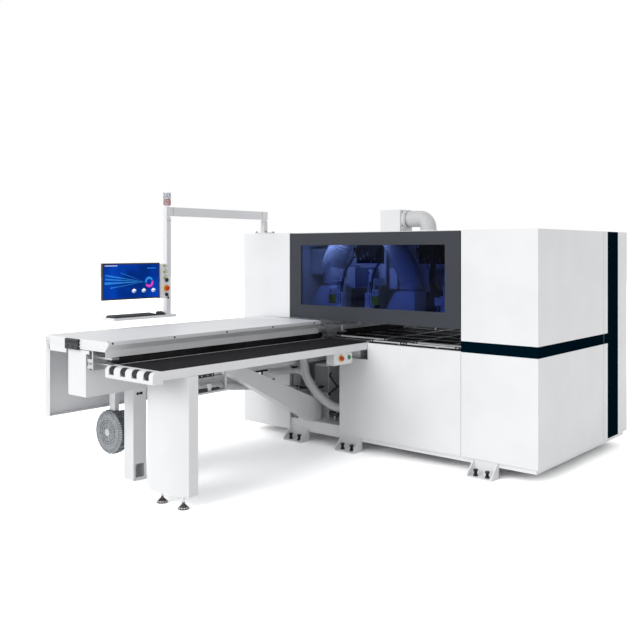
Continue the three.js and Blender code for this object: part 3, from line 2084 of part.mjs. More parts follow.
function bendHoseBody() {
  const { x, y, endZ } = bendHose;
  const standFace = -tableStand.left - tableStand.wide;
  const standY = tableStand.front + tableStand.wide / 2;
  const start = [-x, -y, manifold.low - seat];
  const end = [standFace - seat, standY, endZ];
  const run = end[0] - start[0];
  const route = tube(
    bayRoute(start, end, [run, run, run], bendHoseShares),
    bendHose.radius,
    bendHose.sides,
    bendHose.steps,
  );
  const { branchX, branchY, branchZ } = dustHose;
  const branch = rod("x", [-branchY, branchZ], dustHose.radius + dustHose.rib, -branchX, -x);
  return join(route, branch);
}

// Operator station

function postBase() {
  const half = post.flange / 2;
  const low = enclosure.top + seat;
  const inset = half - post.boltInset;
  const bolts = [
    [-inset, -inset],
    [inset, -inset],
    [inset, inset],
    [-inset, inset],
  ].map(([dx, dy]) =>
    rod(
      "z",
      [-post.x + dx, post.y + dy],
      post.bolt,
      low + post.flangeHigh - seat,
      low + post.flangeHigh + post.boltHigh,
      faces.hex,
    ),
  );
  const flangeNear = Math.max(post.y - half, 0);
  return join(
    block(-post.x - half, -post.x + half, flangeNear, post.y + half, low, low + post.flangeHigh),
    squarePost(-post.x, post.y, low, post.top),
    bolts.slice(post.y - inset < 0 ? 2 : 0),
  );
}

// A square tube post with cut corners.
function squarePost(x, y, from, to) {
  const half = post.side / 2;
  const near = half - post.cutCorner;
  return profile(
    "z",
    [
      [x - near, y - half],
      [x + near, y - half],
      [x + half, y - near],
      [x + half, y + near],
      [x + near, y + half],
      [x - near, y + half],
      [x - half, y + near],
      [x - half, y - near],
    ],
    from,
    to,
  );
}

const consoleY = post.y - arm.reach;

function supportArm() {
  const half = post.side / 2;
  const collar = (y, low) =>
    rod("z", [-post.x, y], arm.collar - 2 * seat, low, arm.low + overrun, faces.smooth);
  return join(
    block(-post.x - half, -post.x + half, consoleY - half, post.y + half, arm.low, arm.low + arm.high),
    collar(post.y, post.top + seat),
    collar(consoleY, arm.low - arm.collarHigh),
  );
}

function signalLight() {
  const low = arm.low + arm.high + seat;
  const { radius, footHigh, high, ring } = light;
  return turned(
    "z",
    [-post.x, consoleY],
    [
      [0, low],
      [light.foot, low],
      [light.foot, low + footHigh],
      [radius - ring, low + footHigh],
      [radius, low + footHigh + ring],
      [radius, low + high / 2 - ring],
      [radius - ring, low + high / 2],
      [radius, low + high / 2 + ring],
      [radius, low + high - 2 * ring],
      [radius - ring, low + high],
      [0, low + high],
    ],
    faces.smooth,
  );
}

const trayTop = tray.low + tray.thick;

function consoleBody() {
  const half = post.side / 2;
  const bottom = trayTop - overrun;
  const top = arm.low - arm.collarHigh - seat;
  const trayBody = cut(
    block(-tray.back, -tray.front, -tray.near, -tray.far, tray.low, trayTop + tray.lipHigh),
    block(
      -tray.back + tray.lipWide,
      -tray.front - tray.lipWide,
      -tray.near + tray.lipWide,
      -tray.far - tray.lipWide,
      trayTop,
      trayTop + tray.lipHigh + overrun,
    ),
  );
  const boxBody = cut(
    block(
      -panelBox.front - panelBox.deep,
      -panelBox.front,
      -panelBox.near,
      -panelBox.far,
      panelBox.low,
      panelBox.low + panelBox.high,
    ),
    stemBores(-panelBox.front, [
      ...button.rows.map((z) => [-button.y, z, button.stem]),
      [-button.y, stop.z, stop.neck],
    ]),
  );
  const strapBack = -post.x + half - strap.thick;
  const strapBar = (y, z) =>
    block(strapBack, -panelBox.front - panelBox.deep + overrun, y, consoleY, z, z + strap.high);
  const monitorBack = -monitor.front - monitor.deep - monitor.back;
  const vesaY = -(monitor.near + monitor.far) / 2;
  const vesa = block(strapBack, monitorBack - seat, vesaY, consoleY, strap.vesa, strap.vesa + strap.high);
  const keyBody = rod(
    "x",
    [-key.y, key.z],
    key.radius,
    -panelBox.front - overrun,
    -panelBox.front + key.high,
    faces.small,
  );
  return join(
    squarePost(-post.x, consoleY, bottom, top),
    trayBody,
    boxBody,
    strapBar(-button.y, strap.upper),
    strapBar(-button.y, strap.lower),
    vesa,
    keyBody,
  );
}

function monitorBody() {
  const { front, deep, near, far, low, high, bezel, glass, back, backShare } = monitor;
  const insetY = (near - far) * backShare;
  const insetZ = high * backShare;
  const body = block(-front - deep, -front, -near, -far, low, low + high);
  const bulge = block(
    -front - deep - back,
    -front - deep + overrun,
    -near + insetY,
    -far - insetY,
    low + insetZ,
    low + high - insetZ,
  );
  const screen = block(
    -front - glass,
    -front + overrun,
    -near + bezel,
    -far - bezel,
    low + bezel,
    low + high - bezel,
  );
  return cut(join(body, bulge), screen);
}

function keyboardAndMouse() {
  const low = trayTop + seat;
  const wedge = profile(
    "y",
    [
      [-keys.back, low],
      [-keys.front, low],
      [-keys.front, low + keys.high],
      [-keys.back, low + keys.high + keys.tilt],
    ],
    -keys.near,
    -keys.far,
  );
  const pitch = (keys.back - keys.front) / keys.rows;
  const rowGroove = (i) =>
    block(
      -keys.back + (i + 1) * pitch - keys.rowGap / 2,
      -keys.back + (i + 1) * pitch + keys.rowGap / 2,
      -keys.near + keys.groove,
      -keys.far - keys.groove,
      low + keys.high - keys.groove,
      low + keys.high + keys.tilt + overrun,
    );
  const dome = new THREE.SphereGeometry(mouse.long / 2, faces.plain, faces.small);
  dome.scale(mouse.wide / mouse.long, 1, (2 * mouse.high) / mouse.long);
  const shell = cut(
    solid(dome.translate(-mouse.x, -mouse.y, low)),
    block(
      -mouse.x - mouse.long,
      -mouse.x + mouse.long,
      -mouse.y - mouse.long,
      -mouse.y + mouse.long,
      low - mouse.long,
      low,
    ),
  );
  const cordX = -keys.back + keys.tilt;
  const cordZ = low + mouse.cord;
  const cord = tube(
    [
      [cordX, -keys.far - keys.groove, cordZ],
      [cordX, -keys.far + mouse.cord, cordZ],
      [-mouse.x, -mouse.y - mouse.long / 2 - mouse.cord, cordZ],
      [-mouse.x, -mouse.y - mouse.long / 2 + keys.high, cordZ],
    ],
    mouse.cord,
    faces.cord,
    mouse.cordSteps,
  );
  return join(cut(wedge, repeat(keys.rows - 1, rowGroove)), shell, cord);
}

// The bores that the buttons' stems run in, behind a box's +X face
function stemBores(face, stems) {
  const floor = face - button.sunk - button.lift - seat;
  return stems.map(([y, z, radius]) => rod("x", [y, z], radius + boreClear, floor, face + overrun));
}

// Buttons on the +X faces of the two boxes

function pushButton(y, z, face) {
  const { stem, sunk, ring, lift, proud, chamfer } = button;
  return turned(
    "x",
    [y, z],
    [
      [0, face - sunk],
      [stem, face - sunk],
      [stem, face + lift],
      [ring, face + lift],
      [ring, face + lift + proud - chamfer],
      [ring - chamfer, face + lift + proud],
      [0, face + lift + proud],
    ],
    faces.plain,
  );
}

function stopButton(y, z, face) {
  const { neck, neckHigh, head: cap, headHigh, dome } = stop;
  const capLow = face + neckHigh;
  return turned(
    "x",
    [y, z],
    [
      [0, face - button.sunk],
      [neck, face - button.sunk],
      [neck, capLow],
      [cap - dome, capLow],
      [cap, capLow + dome],
      [cap, capLow + headHigh - dome],
      [cap - dome, capLow + headHigh],
      [0, capLow + headHigh],
    ],
    faces.smooth,
  );
}

function rotarySwitch() {
  const face = -panelBox.front;
  const body = rod("x", [-button.y, knob.z], knob.radius, face + seat, face + knob.high, faces.smooth);
  const grip = block(
    face + knob.high - overrun,
    face + knob.high + knob.gripHigh,
    -button.y - knob.grip,
    -button.y + knob.grip,
    knob.z - knob.radius,
    knob.z + knob.radius,
  );
  return join(body, grip);
}

// Assembly

piece("base_frame", baseFrame(), "white");
piece("left_cabinet", leftCabinet(), "white");
piece("right_cabinet", rightCabinet(), "white");
piece("accent_stripe", accentStripe(), "stripe");
piece("roof_cover", roofCover(), "white");
piece("rear_wall", rearWall(), "white");
piece("lower_panel", lowerFrontPanel(), "white");
piece("worktable", worktable(), "dark");
piece("cross_beam_upper", crossBeam(beamUpper, upperGuides), "white");
piece("cross_beam_lower", crossBeam(beamLower, lowerGuides), "white");
piece("feed_rail", feedRail(), "steel");
piece("roof_duct", roofDuct(), "grey");
piece("roof_hose", roofHoseBody(), "hose");
piece("feed_beam", feedBeamBody(), "white");
piece("beam_hood", beamHood(), "white");
piece("beam_leg", beamLegPost(), "white");
piece("cable_block", cableBlockBody(), "black");
piece("table_frame", tableFrame(), "white");
piece("table_top", tableTop(), "felt");
piece("table_leg", tableLeg(), "white");
piece("brace", braceBody(), "offWhite");
piece("blower_housing", blowerHousing(), "castGrey");
piece("blower_fan", blowerFan(), "black");
piece("air_hose", airHoseBody(), "hose");
piece("dust_hose", dustHoseBody(), "hose");
piece("bend_hose", bendHoseBody(), "grey");
piece("bay_boxes", bayBoxes(), "grey");
piece("button_box", buttonBox(), "white");
piece("post_base", postBase(), "offWhite");
piece("window_frame", windowFrame(), "dark");
piece("window_glass", windowGlass(), "glass");
[clamp.firstY, -clamp.secondY].forEach((y, i) => {
  piece(`clamp_${i + 1}`, clampCarriage(-y), "steel");
  piece(`clamp_jaw_${i + 1}`, clampJaw(-y), "steel");
});
headPlaces.forEach((x, i) => {
  piece(`head_${i + 1}_carriage`, headCarriage(i), "white");
  piece(`head_${i + 1}_hose`, headHose(i), "hose");
  piece(`head_${i + 1}_block`, headBlock(i), "grey");
  piece(`head_${i + 1}_spindle`, headSpindle(i), "steel");
});
piece("lower_head", lowerHead(), "grey");
repeat(roller.count, (i) => piece(`roller_${i + 1}`, rollerBody(i), "black"));
piece("support_arm", supportArm(), "offWhite");
piece("signal_light", signalLight(), "lamp");
piece("console", consoleBody(), "offWhite");
piece("monitor", monitorBody(), "black");
piece("keyboard", keyboardAndMouse(), "black");
button.rows.forEach((z, i) => {
  piece(`button_${i + 1}`, pushButton(-button.y, z, -panelBox.front), "white");
});
piece("console_stop", stopButton(-button.y, stop.z, -panelBox.front), "red");
piece("console_switch", rotarySwitch(), "black");
piece("table_stop", stopButton(-tableBox.stopY, tableBox.z, -tableBox.right), "red");
piece("table_start", pushButton(-tableBox.startY, tableBox.z, -tableBox.right), "green");

export default machine;
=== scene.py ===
# %% [markdown]
# A six-sided drilling machine, dressed for its picture.
# The frame holds every sub-part of the machine at its real size, and this lesson never moves one. It
# gives the sheet metal its soft folded edges, gives each surface a finish of its own, and adds the small
# things that a solid model leaves out, such as screws, hose ribs, cables, keys and the picture on the
# screen. The same could be done by modelling the machine again from nothing, but then nothing would
# promise that a screw sits on its sheet, so each added piece takes its place from the frame instead.

import json
import math

import bmesh
import bpy
from mathutils import Matrix, Vector

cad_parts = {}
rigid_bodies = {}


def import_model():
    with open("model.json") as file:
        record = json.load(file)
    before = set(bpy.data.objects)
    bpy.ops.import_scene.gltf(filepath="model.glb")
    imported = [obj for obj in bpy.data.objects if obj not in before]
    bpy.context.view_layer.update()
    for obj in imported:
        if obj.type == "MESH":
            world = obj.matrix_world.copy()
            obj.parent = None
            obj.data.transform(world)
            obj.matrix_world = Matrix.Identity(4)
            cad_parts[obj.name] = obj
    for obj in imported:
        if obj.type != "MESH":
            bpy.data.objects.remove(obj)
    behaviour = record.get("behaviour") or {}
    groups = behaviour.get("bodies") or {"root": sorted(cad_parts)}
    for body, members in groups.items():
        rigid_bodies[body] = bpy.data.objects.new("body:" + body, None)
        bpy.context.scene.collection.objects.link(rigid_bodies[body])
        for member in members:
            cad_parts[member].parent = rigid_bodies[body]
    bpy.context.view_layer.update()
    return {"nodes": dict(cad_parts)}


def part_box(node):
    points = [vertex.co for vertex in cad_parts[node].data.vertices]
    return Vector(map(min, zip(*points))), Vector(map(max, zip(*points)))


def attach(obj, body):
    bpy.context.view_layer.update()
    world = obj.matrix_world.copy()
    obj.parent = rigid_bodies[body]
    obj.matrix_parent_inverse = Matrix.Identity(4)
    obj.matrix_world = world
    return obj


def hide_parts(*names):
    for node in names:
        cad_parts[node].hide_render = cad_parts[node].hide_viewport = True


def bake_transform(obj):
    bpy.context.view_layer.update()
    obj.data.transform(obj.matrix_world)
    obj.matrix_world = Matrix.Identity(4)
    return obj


for stray in list(bpy.data.objects):
    bpy.data.objects.remove(stray)
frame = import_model()

# %% [markdown]
# Every place on this machine is easiest to say in millimetres from one corner: the front right corner of
# the enclosure, on the floor. A builder would chalk the same corner on the workshop floor. The corner
# could be typed as three numbers, but reading it from the two cabinets keeps it true if the machine is
# moved.

# %% Places in millimetres
MM = 0.001
HAIR = 0.1
CORNER = Vector((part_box("right_cabinet")[1].x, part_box("left_cabinet")[0].y, 0.0))


def at(x, y, z):
    """A point in metres, given in millimetres from the enclosure's front right corner."""
    return CORNER + Vector((x, y, z)) * MM


def low(node):
    """The lowest corner of a sub-part, in millimetres from the same corner."""
    return (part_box(node)[0] - CORNER) / MM


def high(node):
    """The highest corner of a sub-part, in millimetres from the same corner."""
    return (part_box(node)[1] - CORNER) / MM


print("corner:", [round(c, 4) for c in CORNER])

# %% [markdown]
# The camera stands where a photographer would stand to show the front and the feed table at once, at eye
# height and level, so that upright edges stay upright. Tilting it down would show the same things but
# would make the cabinets lean, so the lens is shifted down a little instead.

# %% The camera
CAMERA_PLACE = (4.1995, -5.40655, 1.745)
CAMERA_TILT = 90
CAMERA_TURN = 40.34
LENS = 46.0
SHIFT = -0.1092

camera = bpy.data.objects.new("camera", bpy.data.cameras.new("camera"))
camera.location = CAMERA_PLACE
camera.rotation_euler = (math.radians(CAMERA_TILT), 0, math.radians(CAMERA_TURN))
camera.data.lens = LENS
camera.data.shift_y = SHIFT
bpy.context.scene.collection.objects.link(camera)
bpy.context.scene.camera = camera
print("camera:", LENS, "mm lens at", CAMERA_PLACE)

# %% [markdown]
# A white sweep is the usual ground for a picture of a pale machine. A curved paper sweep could be
# modelled, but a wide flat floor has no bend to hide. The camera sees the floor about twice as bright as
# the lamps do, so that it reads as white paper and still keeps the machine's soft shadow.

# %% Floor
FLOOR_HALF = 40.0
FLOOR_DROP = 0.0006
FLOOR_SEEN = 1.95
FLOOR_LIT = 0.93


def eye_ray(nodes, links):
    """1 for a ray from the camera, off a shiny surface or through glass, and 0 for the light itself."""
    ray = nodes.new("ShaderNodeLightPath")
    total = ray.outputs["Is Camera Ray"]
    for kind in ("Is Glossy Ray", "Is Transmission Ray"):
        either = nodes.new("ShaderNodeMath")
        either.operation = "MAXIMUM"
        links.new(total, either.inputs[0])
        links.new(ray.outputs[kind], either.inputs[1])
        total = either.outputs[0]
    return total


def white_floor():
    mesh = bpy.data.meshes.new("floor")
    half = FLOOR_HALF
    corners = [(-half, -half), (half, -half), (half, half), (-half, half)]
    mesh.from_pydata([(x, y, -FLOOR_DROP) for x, y in corners], [], [(0, 1, 2, 3)])
    floor = bpy.data.objects.new("floor", mesh)
    bpy.context.scene.collection.objects.link(floor)
    paper = bpy.data.materials.new("floor_paper")
    paper.use_nodes = True
    nodes, links = paper.node_tree.nodes, paper.node_tree.links
    nodes.clear()
    seen = nodes.new("ShaderNodeBsdfDiffuse")
    seen.inputs["Color"].default_value = (FLOOR_SEEN, FLOOR_SEEN, FLOOR_SEEN, 1)
    lit = nodes.new("ShaderNodeBsdfDiffuse")
    lit.inputs["Color"].default_value = (FLOOR_LIT, FLOOR_LIT, FLOOR_LIT, 1)
    either = nodes.new("ShaderNodeMixShader")
    out = nodes.new("ShaderNodeOutputMaterial")
    links.new(eye_ray(nodes, links), either.inputs[0])
    links.new(lit.outputs[0], either.inputs[1])
    links.new(seen.outputs[0], either.inputs[2])
    links.new(either.outputs[0], out.inputs["Surface"])
    mesh.materials.append(paper)


white_floor()
print("floor:", 2 * FLOOR_HALF, "m wide")

# %% [markdown]
# The sky does two jobs: it is the even light on the machine and the white behind it. A painted backdrop
# could be put up for the second job, but it would throw its own shade. The same test of the ray parts the
# two here, so the white that the camera sees adds no light to the object.

# %% Sky
SKY_LIGHT = 0.64
SKY_SEEN = 1.0


def white_sky():
    world = bpy.data.worlds.new("sky")
    world.use_nodes = True
    bpy.context.scene.world = world
    nodes, links = world.node_tree.nodes, world.node_tree.links
    nodes.clear()
    lit = nodes.new("ShaderNodeBackground")
    lit.inputs["Strength"].default_value = SKY_LIGHT
    seen = nodes.new("ShaderNodeBackground")
    seen.inputs["Strength"].default_value = SKY_SEEN
    for light in (lit, seen):
        light.inputs["Color"].default_value = (1, 1, 1, 1)
    either = nodes.new("ShaderNodeMixShader")
    out = nodes.new("ShaderNodeOutputWorld")
    links.new(eye_ray(nodes, links), either.inputs[0])
    links.new(lit.outputs[0], either.inputs[1])
    links.new(seen.outputs[0], either.inputs[2])
    links.new(either.outputs[0], out.inputs["Surface"])


white_sky()
bpy.context.scene.view_settings.view_transform = "Standard"
print("sky: light", SKY_LIGHT, "and seen at", SKY_SEEN)

# %% [markdown]
# Most of the light is the even sky. One broad lamp at the left of the camera makes the fronts a shade
# lighter than the right side, which is what tells the eye that the cabinet has a corner. A second lamp
# hangs inside the roof of the drilling chamber, as real machines have one there, because tinted glass
# keeps daylight out.

# %% Lamps
KEY_STRENGTH = 1.27
KEY_SOFT = 38.0
KEY_WAY = Vector((0.14, 0.86, -0.42))
CHAMBER_WATTS = 2.5
CHAMBER_LONG = 0.9
CHAMBER_WIDE = 0.1
CHAMBER_PLACE = at(-1960, 130, 1850)
CHAMBER_AIM = at(-1960, 420, 1250)


def key_lamp():
    lamp = bpy.data.objects.new("key_lamp", bpy.data.lights.new("key_lamp", "SUN"))
    lamp.data.energy = KEY_STRENGTH
    lamp.data.angle = math.radians(KEY_SOFT)
    lamp.rotation_euler = KEY_WAY.to_track_quat("-Z", "Y").to_euler()
    bpy.context.scene.collection.objects.link(lamp)


def chamber_lamp():
    lamp = bpy.data.objects.new("chamber_lamp", bpy.data.lights.new("chamber_lamp", "AREA"))
    lamp.data.energy = CHAMBER_WATTS
    lamp.data.shape = "RECTANGLE"
    lamp.data.size = CHAMBER_LONG
    lamp.data.size_y = CHAMBER_WIDE
    lamp.location = CHAMBER_PLACE
    lamp.rotation_euler = (CHAMBER_AIM - CHAMBER_PLACE).to_track_quat("-Z", "Y").to_euler()
    bpy.context.scene.collection.objects.link(lamp)


key_lamp()
chamber_lamp()
print("lamps: one key, one in the chamber")

# %% [markdown]
# A colour is given as it looks on a screen, while a shader asks for the light itself. The numbers
# could be worked out by hand, but one function turns the first into the second, so that every colour can
# be written as it is seen. Real surfaces are never even, and noise in the machine's own space makes them
# so: it stays put when a piece moves.

# %% Colours and noise


def shade(red, green, blue):
    """A colour written as seen on a screen, from 0 to 255, as the light values that shaders need."""
    light = []
    for seen in (red / 255, green / 255, blue / 255):
        light.append(seen / 12.92 if seen <= 0.04045 else ((seen + 0.055) / 1.055) ** 2.4)
    return (*light, 1.0)


def deeper(colour, share):
    """The same colour with less light in it."""
    return tuple(c * share for c in colour[:3]) + (1.0,)


def noise_node(nodes, links, scale, detail=3.0, stretch=(1, 1, 1)):
    place = nodes.new("ShaderNodeTexCoord")
    mapping = nodes.new("ShaderNodeMapping")
    mapping.inputs["Scale"].default_value = stretch
    texture = nodes.new("ShaderNodeTexNoise")
    texture.inputs["Scale"].default_value = scale
    texture.inputs["Detail"].default_value = detail
    links.new(place.outputs["Object"], mapping.inputs["Vector"])
    links.new(mapping.outputs["Vector"], texture.inputs["Vector"])
    return texture.outputs["Fac"]


print("white paint as light:", [round(c, 3) for c in shade(240, 241, 243)])

# %% [markdown]
# Powder coat is the machine's main finish: a thick matt skin with a very fine pebble that you feel more
# than see. One flat colour would look like plastic sheet. Three quiet layers make it paint: broad patches
# a hair darker than the rest, a roughness that drifts, and a fine bump. Metals and plastics are the same
# three layers with other numbers. The constant values sit on the shader itself.

# %% A maker of painted and moulded finishes
PATCH_EDGES = (0.35, 0.65)
ROUGH_PATCHES = 4
PEBBLE_DEEP = 1.0 * MM


def finish(
    name, colour, rough, metal=0.0, patch=3.0, drift=0.96, grain=650.0, pebble=0.03,
    stretch=(1, 1, 1), wander=0.05,
):
    """Paint, plastic or metal: patches of noise for the colour and the shine, fine noise for the bump."""
    material = bpy.data.materials.new(name)
    material.use_nodes = True
    nodes, links = material.node_tree.nodes, material.node_tree.links
    shader = nodes["Principled BSDF"]
    shader.inputs["Metallic"].default_value = metal
    tone = nodes.new("ShaderNodeValToRGB")
    for stop, edge, level in zip(tone.color_ramp.elements, PATCH_EDGES, (deeper(colour, drift), colour)):
        stop.position = edge
        stop.color = level
    links.new(noise_node(nodes, links, patch, stretch=stretch), tone.inputs[0])
    links.new(tone.outputs[0], shader.inputs["Base Color"])
    spread = nodes.new("ShaderNodeMapRange")
    spread.inputs["To Min"].default_value = rough - wander
    spread.inputs["To Max"].default_value = rough + wander
    links.new(noise_node(nodes, links, patch * ROUGH_PATCHES, stretch=stretch), spread.inputs["Value"])
    links.new(spread.outputs[0], shader.inputs["Roughness"])
    bump = nodes.new("ShaderNodeBump")
    bump.inputs["Strength"].default_value = pebble
    bump.inputs["Distance"].default_value = PEBBLE_DEEP
    links.new(noise_node(nodes, links, grain, 2.0, stretch), bump.inputs["Height"])
    links.new(bump.outputs[0], shader.inputs["Normal"])
    return material


def matt(material, level=0.12):
    """The same finish with hardly any shine, for surfaces that stay dark when they are seen at a slant."""
    material.node_tree.nodes["Principled BSDF"].inputs["Specular IOR Level"].default_value = level
    return material


print("layers: patches, drifting shine and pebble")

# %% [markdown]
# Each finish is named for what it is on the real machine. They could be made where they are first used,
# but side by side it is easier to see that the greys differ enough, and that only the stop buttons, the
# tags and the screen have strong colours. Dark sheets are matt, so that they stay dark when seen at a
# slant.

# %% The machine's finishes
WHITE = finish("white_powder_coat", shade(240, 241, 243), 0.42)
LIGHT = finish("light_grey_coat", shade(229, 230, 231), 0.45)
GREY = finish("grey_coat", shade(214, 217, 220), 0.45)
DARK = matt(finish("graphite_coat", shade(67, 70, 76), 0.55, pebble=0.05))
TEAL = matt(finish("deep_teal_foil", shade(0, 20, 31), 0.7, pebble=0.01), 0.0)
BLACK = finish("black_moulding", shade(26, 27, 30), 0.42, grain=900.0, pebble=0.08, drift=0.8)
RUBBER = finish("black_rubber", shade(24, 24, 26), 0.7, grain=400.0, pebble=0.12, drift=0.8)
STEEL = finish(
    "ground_steel", shade(176, 178, 180), 0.32, metal=1.0, patch=14.0, drift=0.85, grain=90.0, pebble=0.05,
    stretch=(1, 1, 12),
)
BOLT = finish("black_oxide_steel", shade(52, 52, 54), 0.38, metal=0.8, drift=0.7)
CAST = finish(
    "cast_aluminium", shade(128, 132, 136), 0.48, metal=0.55, patch=20.0, drift=0.85, grain=420.0,
    pebble=0.25,
)
BRUSHED = finish(
    "brushed_aluminium", shade(186, 188, 190), 0.3, metal=0.9, patch=10.0, drift=0.88, grain=260.0,
    pebble=0.08, stretch=(1, 0.05, 1),
)
BELT = finish("table_bristle_top", shade(42, 42, 44), 0.8, patch=9.0, drift=0.86, grain=520.0, pebble=0.4)
matt(BELT, 0.05)
# Dark bed plate colour; on the feed rail the same dark matt is painted shade, in place of bright steel.
BED_AND_RAIL_SHADE = matt(finish("dark_bed_plate_and_rail_shade", shade(38, 38, 38), 0.6, patch=7.0, drift=0.8, grain=300.0, pebble=0.1))
RED = finish("red_cap", shade(204, 38, 28), 0.35, drift=0.9)
ORANGE = finish("orange_red_cap", shade(214, 58, 28), 0.35, drift=0.9)
YELLOW = finish("yellow_ring", shade(238, 186, 24), 0.4, drift=0.93)
GREEN = finish("green_cap", shade(22, 158, 96), 0.35, drift=0.9)
CAPWHITE = finish("white_lens", shade(240, 242, 244), 0.3)
TAG = finish("yellow_green_tag", shade(168, 186, 40), 0.5, drift=0.92)
BLOWER = finish(
    "blower_bars", shade(206, 209, 212), 0.45, metal=0.35, patch=20.0, drift=0.88, grain=420.0,
    pebble=0.2,
)
FOOT = finish("foot_steel", shade(84, 80, 76), 0.4, metal=0.7, patch=30.0, drift=0.8)
# Pale matt grey for steel bars: a painted highlight in place of their reflection.
BAR_HIGHLIGHT = finish("bar_painted_highlight", shade(206, 208, 210), 0.3, drift=0.8, patch=12.0)
# Streaked grey sheet inside the hood skirt: a brushed liner, darkened with painted shade.
SHADE_LINER = finish("hood_liner_painted_shade", shade(168, 170, 171), 0.35, patch=2.0, drift=0.7, stretch=(1, 1, 5))
BEIGE = finish("pale_plate", shade(196, 194, 180), 0.4, drift=0.93)
# Mid grey for the bay box lid: painted shade, darker than the box's own light grey.
BAY_SHADE_GREY = finish("bay_box_painted_shade", shade(146, 149, 153), 0.5)
JOINT = finish("joint_shadow", shade(150, 152, 156), 0.7, drift=0.9)
print("finishes:", len(bpy.data.materials))

# %% [markdown]
# Glass and clear plastic let light through, so they need a shader of their own. The window pane is tinted
# through its thickness: a deep blue that turns the white chamber behind it violet. The hoses are a milky
# plastic in which light wanders before it leaves, which a small share of transmission stands for.

# %% Glass, milky hose and lamp plastic
GLOSS_WANDER_SHARE = 0.3
MOTOR_FOOT = 1.4


def clear_finish(name, colour, rough, through, ior=1.3, specular=0.5, scale=160.0, pebble=0.01):
    wander = rough * GLOSS_WANDER_SHARE
    material = finish(name, colour, rough, drift=0.97, grain=scale, pebble=pebble, wander=wander)
    shader = material.node_tree.nodes["Principled BSDF"]
    shader.inputs["Transmission Weight"].default_value = through
    shader.inputs["IOR"].default_value = ior
    shader.inputs["Specular IOR Level"].default_value = specular
    return material


def two_tone(name, below, above, level, rough, metal=0.0):
    """A finish that changes colour at a height in metres, for one solid made of two materials."""
    material = finish(name, above, rough, metal)
    nodes, links = material.node_tree.nodes, material.node_tree.links
    shader = nodes["Principled BSDF"]
    tone = shader.inputs["Base Color"].links[0].from_socket
    place = nodes.new("ShaderNodeTexCoord")
    split = nodes.new("ShaderNodeSeparateXYZ")
    over = nodes.new("ShaderNodeMath")
    over.operation = "GREATER_THAN"
    over.inputs[1].default_value = level
    mix = nodes.new("ShaderNodeMixRGB")
    mix.inputs["Color1"].default_value = below
    links.new(place.outputs["Object"], split.inputs[0])
    links.new(split.outputs["Z"], over.inputs[0])
    links.new(over.outputs[0], mix.inputs["Fac"])
    links.new(tone, mix.inputs["Color2"])
    links.new(mix.outputs["Color"], shader.inputs["Base Color"])
    return material


PANE = clear_finish("blue_tinted_glass", shade(94, 115, 173), 0.02, 1.0, ior=1.12, specular=0.3, scale=2.0)
DRILL = two_tone("drill_and_motor", shade(30, 31, 34), shade(139, 145, 149), MOTOR_FOOT, 0.5, 0.3)
MILKY = clear_finish("milky_hose", shade(228, 229, 231), 0.34, 0.25, scale=90.0, pebble=0.05)
SMOOTH_HOSE = finish("smooth_grey_hose", shade(214, 215, 219), 0.36, drift=0.93)
LENS_CLEAR = clear_finish("clear_lens", shade(240, 240, 246), 0.12, 0.8)
LENS_PINK = clear_finish("pale_red_lens", shade(240, 176, 176), 0.15, 0.65)
print("clear finishes: pane, hoses and lamp")

# %% [markdown]
# Folded sheet has a small radius along every fold, and that thin bright line is what makes it look like
# metal. The frame's solids have knife edges. The vertices could be moved, but the frame must stay as it
# is, so four modifiers do it instead: one welds the triangles, one clears the diagonals off flat faces, a
# bevel rounds what is left, and the last one weights the normals so that the flats stay flat. Small and
# round sub-parts only get a finish and shading that keeps their edges sharp.

# %% Soft folds
WELD_GAP = 0.00001
FLAT_ANGLE = math.radians(1)
FOLD_ANGLE = math.radians(35)
FOLD_STEPS = 3


def soften(part, radius):
    weld = part.modifiers.new("weld", "WELD")
    weld.merge_threshold = WELD_GAP
    flats = part.modifiers.new("flats", "DECIMATE")
    flats.decimate_type = "DISSOLVE"
    flats.angle_limit = FLAT_ANGLE
    fold = part.modifiers.new("fold", "BEVEL")
    fold.width = radius * MM
    fold.segments = FOLD_STEPS
    fold.limit_method = "ANGLE"
    fold.angle_limit = FOLD_ANGLE
    fold.use_clamp_overlap = False
    shine = part.modifiers.new("shine", "WEIGHTED_NORMAL")
    shine.keep_sharp = True


def dress(material, radius, *nodes):
    """Gives sub-parts of the frame a finish, and rounds their folds where a radius is given."""
    for node in nodes:
        part = frame["nodes"][node]
        part.data.materials.clear()
        part.data.materials.append(material)
        part.data.shade_smooth()
        if radius is None:
            part.data.set_sharp_from_angle(angle=FOLD_ANGLE)
        else:
            soften(part, radius)


print("folds have", FOLD_STEPS, "steps")

# %% [markdown]
# Now each sub-part gets its finish, and its fold where it is bent from sheet. One list of names per
# finish is enough. A table of every sub-part would be more to read, and it would hide which ones belong
# together. Thick cabinet sheet has the widest fold, tubes have a narrower one, and small cases only a
# hint.

# %% Dress the frame's own sub-parts
CABINET_FOLD = 2.0
CASE_FOLD = 1.5
BEAM_FOLD = 1.2
TUBE_FOLD = 1.0
PANEL_FOLD = 0.2
dress(WHITE, CABINET_FOLD, "left_cabinet", "right_cabinet", "lower_panel", "roof_cover", "rear_wall")
dress(WHITE, BEAM_FOLD, "beam_hood", "beam_leg", "table_leg", "table_frame", "feed_beam")
dress(WHITE, TUBE_FOLD, "brace", "support_arm")
dress(LIGHT, TUBE_FOLD, "post_base")
dress(WHITE, PANEL_FOLD, "console", "button_box")
dress(DARK, CASE_FOLD, "window_frame")
dress(LIGHT, CASE_FOLD, "roof_duct", "bay_boxes")
dress(BLACK, CASE_FOLD, "monitor", "cable_block")
dress(TEAL, None, "accent_stripe")
dress(PANE, None, "window_glass")
dress(BELT, None, "table_top")
